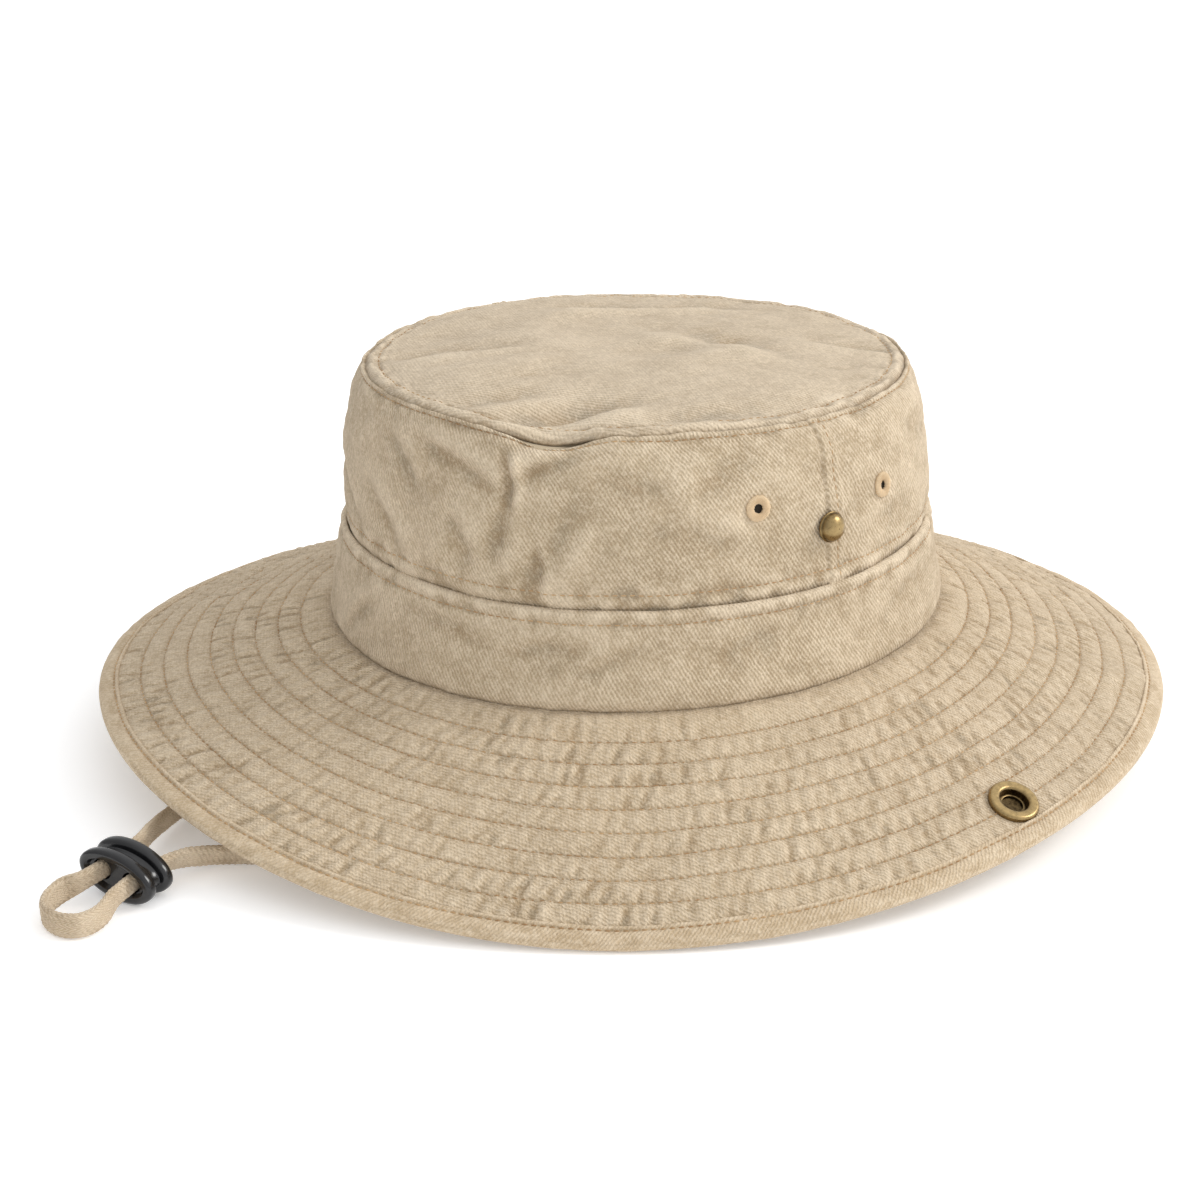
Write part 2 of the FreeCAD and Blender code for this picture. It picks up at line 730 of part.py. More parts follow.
def check_and_write():
    document.recompute()
    for item in document.Objects:
        if "Invalid" in item.State or "Error" in item.State:
            raise RuntimeError("%s (%s) failed: %s" % (item.Label, item.Name, item.State))
    os.makedirs("parts", exist_ok=True)
    for node in nodes:
        shape = node.Shape
        if shape.isNull() or not shape.isValid() or shape.Volume <= 0:
            raise RuntimeError("%s has a bad shape" % node.Label)
        shape.exportStep("parts/%s.step" % node.Label)
        box = shape.optimalBoundingBox(True, False)
        print("%-24s solids %d volume %8.1f  x %.1f..%.1f  y %.1f..%.1f  z %.2f..%.2f"
              % (node.Label, len(shape.Solids), shape.Volume, box.XMin, box.XMax, box.YMin, box.YMax,
                 box.ZMin, box.ZMax))


build_crown()
build_linings()
for side, word in ((1, "left"), (-1, "right")):
    build_stud(side, word)
    build_socket(side, word)
build_brim()
build_eyelets()
build_cord()
build_toggle()
check_and_write()

for side, word in ((1, "left"), (-1, "right")):
    centre, upward, turn = snap_geometry(side)
    print(word, "fold axis: height %.2f, turn to the stud %.1f" % (fold_axis_height(side), turn))
    print(word, "socket at", mirrored(centre, side), "normal", mirrored(upward, side))
print("toggle slides along", toggle_place().Rotation.multVec(vector(0, -1, 0)))
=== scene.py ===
import math

import bpy
import numpy as np
from mathutils import Matrix, Quaternion, Vector


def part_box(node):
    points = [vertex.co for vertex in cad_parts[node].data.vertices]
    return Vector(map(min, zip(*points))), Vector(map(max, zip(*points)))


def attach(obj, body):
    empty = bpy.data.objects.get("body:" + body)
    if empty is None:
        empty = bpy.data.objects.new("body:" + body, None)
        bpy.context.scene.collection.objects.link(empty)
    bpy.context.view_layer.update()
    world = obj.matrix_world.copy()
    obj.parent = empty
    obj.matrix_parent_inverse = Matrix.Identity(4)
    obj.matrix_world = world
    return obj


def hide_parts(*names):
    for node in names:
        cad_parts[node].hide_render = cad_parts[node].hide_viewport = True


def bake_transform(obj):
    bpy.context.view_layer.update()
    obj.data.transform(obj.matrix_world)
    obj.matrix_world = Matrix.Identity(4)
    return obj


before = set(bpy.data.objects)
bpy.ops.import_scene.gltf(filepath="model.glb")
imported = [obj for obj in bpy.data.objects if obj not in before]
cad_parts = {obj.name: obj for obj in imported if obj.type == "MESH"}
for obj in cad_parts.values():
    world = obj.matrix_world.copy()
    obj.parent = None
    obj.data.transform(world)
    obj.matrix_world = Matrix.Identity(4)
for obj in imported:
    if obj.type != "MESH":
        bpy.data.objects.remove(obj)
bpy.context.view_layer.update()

# A washed twill boonie hat. Metres; +Z is up, -Y is the front of the hat, +X the wearer's left.
# Angles go round the crown from +X towards +Y. "Down" a surface is measured along it.

MM = 0.001


# ---------------------------------------------------------------- sizes from the frame

def half_sizes(node):
    low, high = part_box(node)
    return (high.x - low.x) / 2, (high.y - low.y) / 2


BAND_FOOT, BAND_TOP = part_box("lower_band")[0].z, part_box("lower_band")[1].z
BAND_HALF = half_sizes("lower_band")
PANEL_HALF = (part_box("side_panel_front")[1].x, -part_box("side_panel_front")[0].y)
TIP_HALF = half_sizes("crown_tip")
TIP_SEAM = 115.5 * MM
TIP_DOME = 5 * MM
TIP_LEAN = math.radians(2.5)
CLOTH = 1 * MM
SLOPE = 74.8 * MM                   # the brim, measured down from the crown
BRIM_THICK = 1.9 * MM
BINDING = 6.8 * MM                  # how far the binding reaches in from the edge
EDGE_DEPTH = 2.12 * MM              # from the edge's top face down to the floor, where it is lowest


# ---------------------------------------------------------------- smooth noise

def fade(t):
    return t * t * t * (t * (6 * t - 15) + 10)


def noise(u, v, around, seed):
    """Smooth noise from -1 to 1. u goes once round over 0 to 1, in so many cells; v is open."""
    grid = np.random.RandomState(seed).rand(around, 64) * 2 - 1
    x, y = np.mod(u, 1.0) * around, np.asarray(v, float)
    column, row = np.floor(x).astype(int), np.floor(y).astype(int)
    fx, fy = fade(x - column), fade(y - row)
    left, right = column % around, (column + 1) % around
    low, high = row % 64, (row + 1) % 64
    return ((grid[left, low] * (1 - fx) + grid[right, low] * fx) * (1 - fy)
            + (grid[left, high] * (1 - fx) + grid[right, high] * fx) * fy)


def bump(distance, width):
    """A soft ridge: 1 at the middle, falling away over a width."""
    return np.exp(-(distance / width) ** 2)


def ramp(x, start, end):
    t = np.clip((x - start) / (end - start), 0, 1)
    return t * t * (3 - 2 * t)


def round_share(angle):
    """How far round the crown an angle is, from 0 to 1."""
    return np.mod(angle, 2 * np.pi) / (2 * np.pi)


def wrapped(angle):
    """The same angle, within half a turn of the wearer's left."""
    return np.mod(angle + np.pi, 2 * np.pi) - np.pi


def unit(vectors):
    return vectors / np.maximum(np.linalg.norm(vectors, axis=-1, keepdims=True), 1e-12)


def run_of(line):
    """How far along a line each of its points is."""
    return np.concatenate([[0], np.cumsum(np.linalg.norm(np.diff(line, axis=0), axis=1))])


def points_at(line, run, wanted):
    """Points of a line at wanted distances along it."""
    return np.stack([np.interp(wanted, run, line[:, axis]) for axis in range(3)], -1)


def segments(*parts):
    """Rising values from (start, end, count) stretches, denser where the detail is finer."""
    return np.unique(np.concatenate([np.linspace(*part) for part in parts]))


# ---------------------------------------------------------------- mesh making

def add(name, data):
    thing = bpy.data.objects.new(name, data)
    bpy.context.scene.collection.objects.link(thing)
    return thing


def grid_mesh(name, points, closed_u=False, closed_v=False, uv=None, relief=None, normals=None):
    """A mesh of quads from a grid of points, with a weave UV in metres, and two attributes: where
    each point rests, and how far it stands out (1) or in (-1) of the cloth."""
    rows, columns = points.shape[:2]
    number = np.arange(rows * columns).reshape(rows, columns)
    u = np.arange(rows if closed_u else rows - 1)
    v = np.arange(columns if closed_v else columns - 1)
    uu, vv = np.meshgrid(u, v, indexing="ij")
    u2, v2 = (uu + 1) % rows, (vv + 1) % columns
    faces = np.stack([number[uu, vv], number[u2, vv], number[u2, v2], number[uu, v2]], -1).reshape(-1, 4)
    mesh = bpy.data.meshes.new(name)
    mesh.from_pydata(points.reshape(-1, 3).tolist(), [], faces.tolist())
    if uv is not None:
        layer = mesh.uv_layers.new(name="weave")
        ends_u = np.stack([uu, uu + 1, uu + 1, uu], -1).reshape(-1)
        ends_v = np.stack([vv, vv, vv + 1, vv + 1], -1).reshape(-1)
        layer.data.foreach_set("uv", uv[ends_u, ends_v].astype(np.float32).ravel())
    mesh.polygons.foreach_set("use_smooth", [True] * len(mesh.polygons))
    rest = mesh.attributes.new("rest", "FLOAT_VECTOR", "POINT")
    rest.data.foreach_set("vector", points.astype(np.float32).ravel())
    stand = mesh.attributes.new("relief", "FLOAT", "POINT")
    values = np.zeros(rows * columns) if relief is None else relief.reshape(-1)
    stand.data.foreach_set("value", values.astype(np.float32))
    mesh.update()
    if normals is not None:
        mesh.normals_split_custom_set_from_vertices(normals.reshape(-1, 3).tolist())
    return add(name, mesh)


def raw_mesh(name, points, faces, smooth=True):
    mesh = bpy.data.meshes.new(name)
    mesh.from_pydata([tuple(p) for p in points], [], faces)
    mesh.polygons.foreach_set("use_smooth", [smooth] * len(mesh.polygons))
    mesh.update()
    return add(name, mesh)


def grid_normals(points):
    """The surface's normal at each point of a grid, from its neighbours."""
    return unit(np.cross(np.gradient(points, axis=0), np.gradient(points, axis=1)))


def fit_out(piece, material, body=None, nodes=()):
    """Gives a piece its material and body, and says which CAD nodes it replaces."""
    piece.data.materials.append(material)
    if body:
        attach(piece, body)
    if nodes:
        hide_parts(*nodes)
    return piece


def across_fold(piece):
    """Bakes a brim piece's placement into its mesh."""
    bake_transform(piece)


# ---------------------------------------------------------------- materials

TURN = 2 * math.pi


class Nodes:
    """Short names for building a material's nodes."""

    def __init__(self, name):
        self.material = bpy.data.materials.new(name)
        self.material.use_nodes = True
        self.tree = self.material.node_tree
        self.shader = self.tree.nodes["Principled BSDF"]

    def node(self, kind, **settings):
        made = self.tree.nodes.new(kind)
        for key, value in settings.items():
            setattr(made, key, value)
        return made

    def link(self, source, target):
        self.tree.links.new(source, target)

    def math(self, operation, a, b=0.5, c=0.0):
        made = self.node("ShaderNodeMath", operation=operation)
        for socket, value in zip(made.inputs, (a, b, c)):
            if isinstance(value, (int, float)):
                socket.default_value = value
            else:
                self.link(value, socket)
        return made.outputs[0]

    def mix(self, share, first, second, blend="MIX"):
        made = self.node("ShaderNodeMix", data_type="RGBA", blend_type=blend)
        for socket, value in ((made.inputs[0], share), (made.inputs[6], first), (made.inputs[7], second)):
            if isinstance(value, (int, float)):
                socket.default_value = value
            elif isinstance(value, tuple):
                socket.default_value = (*value, 1)
            else:
                self.link(value, socket)
        return made.outputs[2]

    def noise(self, vector, scale, detail=2.0, rough=0.5):
        made = self.node("ShaderNodeTexNoise")
        made.inputs["Scale"].default_value = scale
        made.inputs["Detail"].default_value = detail
        made.inputs["Roughness"].default_value = rough
        self.link(vector, made.inputs["Vector"])
        return made.outputs["Fac"]

    def range(self, value, low, high, to_low=0.0, to_high=1.0):
        made = self.node("ShaderNodeMapRange")
        self.link(value, made.inputs[0])
        for socket, number in zip(made.inputs[1:5], (low, high, to_low, to_high)):
            socket.default_value = number
        return made.outputs[0]

    def attribute(self, name, output="Fac"):
        return self.node("ShaderNodeAttribute", attribute_name=name).outputs[output]

    def place(self):
        return self.node("ShaderNodeTexCoord").outputs["Object"]

    def weave(self):
        """The two directions of the weave, in metres."""
        parts = self.node("ShaderNodeSeparateXYZ")
        self.link(self.node("ShaderNodeUVMap", uv_map="weave").outputs[0], parts.inputs[0])
        return parts.outputs[0], parts.outputs[1]

    def wave(self, value, pitch=1.0):
        """A sine that repeats every pitch."""
        return self.math("SINE", self.math("MULTIPLY", value, TURN / pitch))

    def both(self, a, a_share, b, b_share):
        return self.math("ADD", self.math("MULTIPLY", a, a_share), self.math("MULTIPLY", b, b_share))

    def finish(self, colour, rough, height=None, strength=0.5, distance=0.1 * MM, **settings):
        """Links the colour, the roughness and the fine relief, and sets the shader's other inputs."""
        self.link(colour, self.shader.inputs["Base Color"])
        if isinstance(rough, float):
            self.shader.inputs["Roughness"].default_value = rough
        else:
            self.link(rough, self.shader.inputs["Roughness"])
        if height is not None:
            made = self.node("ShaderNodeBump")
            made.inputs["Strength"].default_value = strength
            made.inputs["Distance"].default_value = distance
            self.link(height, made.inputs["Height"])
            self.link(made.outputs[0], self.shader.inputs["Normal"])
        names = {"sheen": "Sheen Weight", "sheen_rough": "Sheen Roughness", "metal": "Metallic",
                 "shine": "Specular IOR Level"}
        for key, value in settings.items():
            self.shader.inputs[names[key]].default_value = value
        return self.material


def twill(name, pale, middle, dark, slant=62.0, pitch=1.05 * MM, contrast=0.55, ridge_and_groove_paint=1.0, lift=0.5,
          crinkle=1.1):
    """Washed cotton twill: slanted cords of yarn, paler on the ridges from wear and a painted highlight, and
    painted shade, browner and greyer, in the puckers and grooves.
    """
    n = Nodes(name)
    weave_u, weave_v = n.weave()
    rest = n.attribute("rest", "Vector")
    wander = n.math("MULTIPLY", n.math("SUBTRACT", n.noise(rest, 300.0, 3.0, 0.6), 0.5), crinkle)
    sine, cosine = math.sin(math.radians(slant)) / pitch, math.cos(math.radians(slant)) / pitch
    across = n.both(weave_u, sine, weave_v, cosine)
    along = n.both(weave_u, cosine, weave_v, -sine)
    cord = n.wave(n.math("ADD", across, wander))
    twist = n.wave(n.both(across, 0.5, along, 0.9))
    yarn = n.both(n.range(cord, -1, 1), 0.75, n.range(twist, -1, 1), 0.25)
    fuzz = n.noise(rest, 2400.0, 3.0, 0.7)
    fade_map = n.range(n.noise(rest, 55.0, 4.0, 0.6), 0.36, 0.66)
    cloudy = n.range(n.noise(rest, 19.0, 3.0, 0.55), 0.35, 0.68)
    # The relief paints the cloth. Ridges are paler, for wear and a painted highlight; creases, grooves, seams
    # and stitch lines are darker, as painted shade.
    relief = n.attribute("relief")
    ridge_wear_and_highlight = n.range(relief, 0.0, 1.3)
    deep = n.range(relief, -0.05, -1.1)
    shown = n.math("MULTIPLY", yarn, n.range(n.noise(rest, 130.0, 2.0), 0.3, 0.6, 0.45, 1.0))
    colour = n.mix(n.range(n.both(fade_map, 0.5, cloudy, 0.5), 0.1, 0.9, 0.0, 0.85), dark, middle)
    colour = n.mix(n.math("MULTIPLY", shown, contrast), colour, pale)
    colour = n.mix(n.math("MULTIPLY", ridge_wear_and_highlight, 0.62 * ridge_and_groove_paint), colour, pale)
    # The painted shade's colours: the dark yarn made browner and greyer.
    brown = tuple(c * f for c, f in zip(dark, (0.82, 0.76, 0.68)))
    grey = tuple(c * f for c, f in zip(dark, (0.72, 0.76, 0.82)))
    groove_shade = n.mix(n.range(n.noise(rest, 150.0, 2.0), 0.42, 0.6), brown, grey)
    colour = n.mix(n.math("MULTIPLY", deep, 0.7 * ridge_and_groove_paint), colour, groove_shade)
    colour = n.mix(n.range(fuzz, 0.5, 0.75, 0.0, 0.55), colour, tuple(c * 0.62 for c in middle))
    colour = n.mix(n.range(fuzz, 0.5, 0.27, 0.0, 0.45), colour, pale)
    grain = n.noise(rest, 720.0, 4.0, 0.7)
    colour = n.mix(n.range(grain, 0.5, 0.66, 0.0, 0.38), colour, dark)
    colour = n.mix(n.range(grain, 0.5, 0.36, 0.0, 0.42), colour, pale)
    return n.finish(colour, n.range(fuzz, 0.3, 0.7, 0.84, 0.96), n.both(yarn, 1.0, fuzz, 0.7), lift, 0.3 * MM,
                    sheen=0.12, sheen_rough=0.5, shine=0.22)


def plain_cloth(name, pale, dark, pitch=0.55 * MM):
    """A plain weave: over and under yarns in both directions."""
    n = Nodes(name)
    rest = n.attribute("rest", "Vector")
    over, under = (n.wave(way, pitch) for way in n.weave())
    check = n.range(n.math("MULTIPLY", over, under), -1, 1)
    cloudy = n.range(n.noise(rest, 45.0, 4.0, 0.6), 0.3, 0.7)
    fuzz = n.noise(rest, 2200.0, 2.0, 0.6)
    colour = n.mix(n.both(check, 0.55, cloudy, 0.4), dark, pale)
    return n.finish(colour, n.range(fuzz, 0.3, 0.7, 0.82, 0.95), n.both(check, 1.0, fuzz, 0.4), 0.5,
                    0.15 * MM, sheen=0.1, shine=0.22)


def thread(name, pale, dark):
    """Sewing thread: a soft twisted ply, unevenly faded."""
    n = Nodes(name)
    where = n.place()
    faded = n.range(n.noise(where, 38.0, 3.0), 0.38, 0.62)
    ply = n.range(n.noise(where, 3200.0, 1.0), 0.35, 0.65)
    colour = n.mix(n.both(faded, 0.7, ply, 0.3), dark, pale)
    return n.finish(colour, n.range(ply, 0, 1, 0.55, 0.8), ply, 0.35, shine=0.3)


def brass(name):
    """Brass whose colour follows each part's tones: a painted highlight on the crown of the metal, painted
    shade of dark brown in the recesses.
    """
    n = Nodes(name)
    where = n.place()
    cloudy = n.range(n.noise(where, 900.0, 4.0, 0.6), 0.35, 0.7)
    # Painted highlight where a part's tone is high, painted shade where it is low.
    edge = n.range(n.attribute("relief"), -1.0, 1.0)
    colour = n.mix(n.both(edge, 0.75, cloudy, 0.25), (0.045, 0.028, 0.012), (0.47, 0.335, 0.155))
    scuffs = n.noise(where, 2600.0, 3.0, 0.7)
    return n.finish(colour, n.range(cloudy, 0, 1, 0.24, 0.42), scuffs, 0.25, 0.06 * MM, metal=1.0)


def black_plastic(name):
    """Moulded black plastic with a satin gloss and faint moulding texture."""
    n = Nodes(name)
    where = n.place()
    haze = n.noise(where, 320.0, 3.0, 0.55)
    colour = n.mix(n.range(haze, 0.3, 0.7), (0.004, 0.004, 0.005), (0.009, 0.009, 0.010))
    return n.finish(colour, n.range(haze, 0.3, 0.7, 0.13, 0.22), n.noise(where, 1500.0, 2.0), 0.10, 0.05 * MM,
                    shine=0.55)


def braid(name):
    """Flat braided cotton: slanting strands that cross the tape from each edge to its middle."""
    n = Nodes(name)
    weave_u, weave_v = n.weave()
    rest = n.attribute("rest", "Vector")
    wander = n.math("MULTIPLY", n.noise(rest, 420.0, 2.0), 1.1)
    chevron = n.both(weave_u, 1 / (1.5 * MM), n.math("PINGPONG", weave_v, 1.2 * MM), 1.6 / MM)
    strand = n.range(n.wave(n.math("ADD", chevron, wander)), -1, 1)
    cloudy = n.range(n.noise(rest, 90.0, 3.0, 0.6), 0.35, 0.65)
    fuzz = n.noise(rest, 2300.0, 3.0, 0.7)
    rib_shade_and_fuzz = (0.34, 0.24, 0.14)
    colour = n.mix(cloudy, (0.52, 0.39, 0.25), (0.74, 0.60, 0.43))
    colour = n.mix(n.math("MULTIPLY", strand, 0.5), colour, (0.88, 0.77, 0.60))
    # Painted shade between the braid's ribs and strands, where the relief is low.
    colour = n.mix(n.range(n.attribute("relief"), 0.1, -0.9, 0.0, 0.6), colour, rib_shade_and_fuzz)
    colour = n.mix(n.range(fuzz, 0.3, 0.75, 0.0, 0.35), colour, rib_shade_and_fuzz)
    return n.finish(colour, 0.9, n.both(strand, 1.0, fuzz, 0.6), 0.7, 0.25 * MM, sheen=0.15, shine=0.22)


def dark_inside(name):
    """The unlit inside of a hole."""
    n = Nodes(name)
    where = n.place()
    return n.finish(n.mix(n.noise(where, 900.0), (0.012, 0.009, 0.006), (0.03, 0.022, 0.014)), 0.95)


PALE, MIDDLE, DARK = (0.77, 0.645, 0.48), (0.495, 0.385, 0.255), (0.35, 0.258, 0.152)
CROWN_TWILL = twill("crown_twill", PALE, MIDDLE, DARK, slant=58.0, contrast=0.72, lift=0.9)
TIP_TWILL = twill("tip_twill", PALE, (0.54, 0.435, 0.31), (0.42, 0.325, 0.215), slant=-40.0,
                  contrast=0.75, lift=0.9)
BRIM_TWILL = twill("brim_twill", PALE, (0.52, 0.396, 0.252), (0.385, 0.283, 0.168), slant=-28.0,
                   contrast=0.6, pitch=0.95 * MM, lift=0.9, crinkle=2.2)
BINDING_TWILL = twill("binding_twill", PALE, (0.54, 0.41, 0.26), (0.44, 0.325, 0.195), slant=52.0,
                      contrast=0.42, ridge_and_groove_paint=0.8, lift=0.7, crinkle=1.8)
LINING = plain_cloth("sweatband_cloth", (0.56, 0.46, 0.33), (0.36, 0.285, 0.195))
TAPE = plain_cloth("seam_tape", (0.58, 0.48, 0.34), (0.40, 0.32, 0.21), pitch=0.8 * MM)
STITCH = thread("stitch_thread", (0.56, 0.375, 0.20), (0.30, 0.17, 0.075))
EYELET_THREAD = thread("eyelet_thread", (0.72, 0.56, 0.37), (0.50, 0.36, 0.21))
BRASS = brass("antique_brass")
PLASTIC = black_plastic("toggle_plastic")
BRAID = braid("cord_braid")
SHADE = dark_inside("hole_shade")


# ---------------------------------------------------------------- the chin cord

TOGGLE = Vector((8.6, -188.3, 7.35)) * MM
TOGGLE_TURN = Quaternion((0, 0, 1), math.radians(22)) @ Quaternion((0, 1, 0), math.radians(10))
HOLE_OFFSET = 5 * MM


def strand_point(side, along):
    """A point of a strand in the toggle: side -1 or 1, and a distance out in front, in millimetres."""
    return TOGGLE + TOGGLE_TURN @ Vector((side * HOLE_OFFSET, -along * MM, 0))


def spot(x, y, z):
    return Vector((x, y, z)) * MM


CORD_ROUTE = [
    spot(-84.0, 0.0, 42), spot(-83.0, -3.0, 22.0), spot(-76.5, -20.0, 5.8),
    spot(-65.5, -50.0, 3.8), spot(-52.5, -86.0, 3.8), spot(-38.0, -119.5, 3.8),
    spot(-26.0, -145.0, 4.0), spot(-15.8, -161.5, 5.0), spot(-8.0, -171.8, 6.8),
    strand_point(-1, -12), strand_point(-1, 11),
    spot(4.3, -205.9, 5.6), spot(7.2, -213.3, 3.8), spot(15.5, -215.6, 3.8),
    spot(22.8, -211.4, 3.8), spot(23.3, -203.7, 4.6),
    strand_point(1, 11), strand_point(1, -12),
    spot(11.5, -162.7, 4.8), spot(18.3, -151.4, 3.8), spot(30.6, -130.0, 3.8),
    spot(44.5, -99.5, 3.8), spot(58.3, -65.0, 3.8), spot(70.3, -36.0, 3.8),
    spot(78.0, -15.0, 6.4), spot(83.0, -3.0, 22.0), spot(84.0, 0.0, 42),
]
CORD_WIDTH, CORD_THICK = 7 * MM, 2.3 * MM


def smooth_line(points, resolution):
    """Points along a smooth NURBS line through the route."""
    curve = bpy.data.curves.new("route", "CURVE")
    curve.dimensions = "3D"
    curve.resolution_u = resolution
    spline = curve.splines.new("NURBS")
    spline.points.add(len(points) - 1)
    for point, place in zip(spline.points, points):
        point.co = (*place, 1)
    spline.order_u = 3
    spline.use_endpoint_u = True
    thing = bpy.data.objects.new("route", curve)
    mesh = bpy.data.meshes.new_from_object(thing)
    line = [vertex.co.copy() for vertex in mesh.vertices]
    bpy.data.objects.remove(thing)
    bpy.data.meshes.remove(mesh)
    return line


def evenly(line, step):
    """The same line with points a step apart."""
    line = np.array([tuple(p) for p in line])
    run = run_of(line)
    wanted = np.linspace(0, run[-1], max(2, int(run[-1] / step)))
    return points_at(line, run, wanted), wanted


def build_cord():
    """A flat braid that lies on its edge, and is squeezed where the toggle's holes hold it."""
    line, run = evenly(smooth_line(CORD_ROUTE, 14), 0.55 * MM)
    tangent = unit(np.gradient(line, axis=0))
    total = run[-1]
    from_end = np.minimum(run, total - run)
    upright = ramp(from_end, 14 * MM, 45 * MM)[:, None]
    wide = np.array([0.0, 1.0, 0.0]) * (1 - upright) + np.array([0.0, 0.0, 1.0]) * upright
    lean = 0.34 * noise(run / total, 0 * run, 13, 5)[:, None] * upright
    sideways = unit(np.cross(tangent, wide))
    wide = unit(unit(np.cross(sideways, tangent)) + sideways * lean)
    sideways = np.cross(tangent, wide)
    toggle = np.linalg.norm(line - np.array(tuple(TOGGLE)), axis=1)
    held = 1 - ramp(toggle, 11 * MM, 19 * MM)
    half_wide = CORD_WIDTH / 2 * (1 - 0.23 * held)
    half_thick = CORD_THICK / 2 * (1 + 0.25 * held)
    count = 36
    turn = np.linspace(0, 2 * np.pi, count, endpoint=False)
    side = np.sign(np.cos(turn)) * np.abs(np.cos(turn)) ** 0.5
    face = np.sign(np.sin(turn)) * np.abs(np.sin(turn)) ** 0.8
    around = np.cumsum(np.hypot(np.diff(side, prepend=side[-1]) * CORD_WIDTH / 2,
                                np.diff(face, prepend=face[-1]) * CORD_THICK / 2))
    ribs = 0.10 * MM * np.cos(side * 3.5 * np.pi)[None, :] * (np.abs(face) > 0.3)[None, :]
    slanted = run[:, None] / (1.6 * MM) + np.abs(side)[None, :] * 1.5
    ribs = ribs + 0.16 * MM * np.cos(2 * np.pi * slanted) * (np.abs(face) > 0.2)[None, :]
    u, v = np.meshgrid(run / total, turn / (2 * np.pi), indexing="ij")
    rough = 0.13 * MM * noise(v, u * 300, 14, 3) + 0.16 * MM * noise(v, u * 75, 5, 4)
    stand = ribs + rough
    over = half_wide[:, None] * side[None, :]
    up = half_thick[:, None] * face[None, :] + stand * np.sign(face)[None, :]
    points = (line[:, None, :] + wide[:, None, :] * over[..., None]
              + sideways[:, None, :] * up[..., None])
    points[..., 2] = np.maximum(0.15 * MM, points[..., 2])
    stand = np.clip(stand, -0.4 * MM, 0.4 * MM)
    uv = np.zeros((len(run) + 1, count + 1, 2))
    uv[:-1, :-1, 0] = run[:, None]
    uv[-1, :, 0] = total
    uv[:-1, -1, 0] = run
    uv[:, :-1, 1] = around[None, :]
    uv[:, -1, 1] = around[-1] + 0.3 * MM
    cord = grid_mesh("chin_cord_braid", points, closed_v=True, uv=uv, relief=stand / (0.3 * MM))
    return fit_out(cord, BRAID, "crown", ["chin_cord"]), line


# ---------------------------------------------------------------- the toggle

def build_toggle():
    """Two rounded oval flanges on a waist; its front is hollowed, and both strands pass through."""
    points = []
    long_half, short_half = 12.5 * MM, 7 * MM
    outline = ((-5.5, 3.2), (-5.5, 1.3), (-5.3, 0.6), (-4.9, 0.15), (-4.3, 0.0), (-3.0, 0.0), (-2.4, 0.2),
               (-2.0, 0.7), (-1.8, 1.5), (-1.6, 2.1), (-1.1, 2.3), (1.1, 2.3), (1.6, 2.1), (1.8, 1.5),
               (2.0, 0.7), (2.4, 0.2), (3.0, 0.0), (4.3, 0.0), (4.9, 0.15), (5.3, 0.6), (5.5, 1.3),
               (5.5, 2.2), (5.3, 2.6), (4.7, 2.9), (4.2, 3.3), (4.1, 4.0))
    count = 96
    for out, inset in outline:
        for step in range(count):
            turn = 2 * math.pi * step / count
            points.append(Vector(((long_half - inset * MM) * math.cos(turn), -out * MM,
                                  (short_half - inset * MM) * math.sin(turn))))
    faces = []
    for level in range(len(outline) - 1):
        for step in range(count):
            a, b = level * count + step, level * count + (step + 1) % count
            faces.append((a, b, b + count, a + count))
    faces.append(tuple(range(count))[::-1])
    faces.append(tuple(range((len(outline) - 1) * count, len(outline) * count)))
    toggle = raw_mesh("cord_toggle_moulding", points, faces)
    for side in (-1, 1):
        bpy.ops.mesh.primitive_cylinder_add(vertices=64, radius=3.1 * MM, depth=30 * MM,
                                            location=(side * HOLE_OFFSET, 0, 0), rotation=(math.pi / 2, 0, 0))
        tool = bpy.context.object
        hole = toggle.modifiers.new("Hole", "BOOLEAN")
        hole.object, hole.operation, hole.solver = tool, "DIFFERENCE", "EXACT"
        bpy.context.view_layer.objects.active = toggle
        bpy.ops.object.modifier_apply(modifier="Hole")
        bpy.data.objects.remove(tool)
    toggle.data.transform(Matrix.Translation(TOGGLE) @ TOGGLE_TURN.to_matrix().to_4x4())
    toggle.data.polygons.foreach_set("use_smooth", [True] * len(toggle.data.polygons))
    toggle.data.set_sharp_from_angle(angle=math.radians(38))
    return fit_out(toggle, PLASTIC, "toggle", ["cord_toggle"])


# ---------------------------------------------------------------- stitches

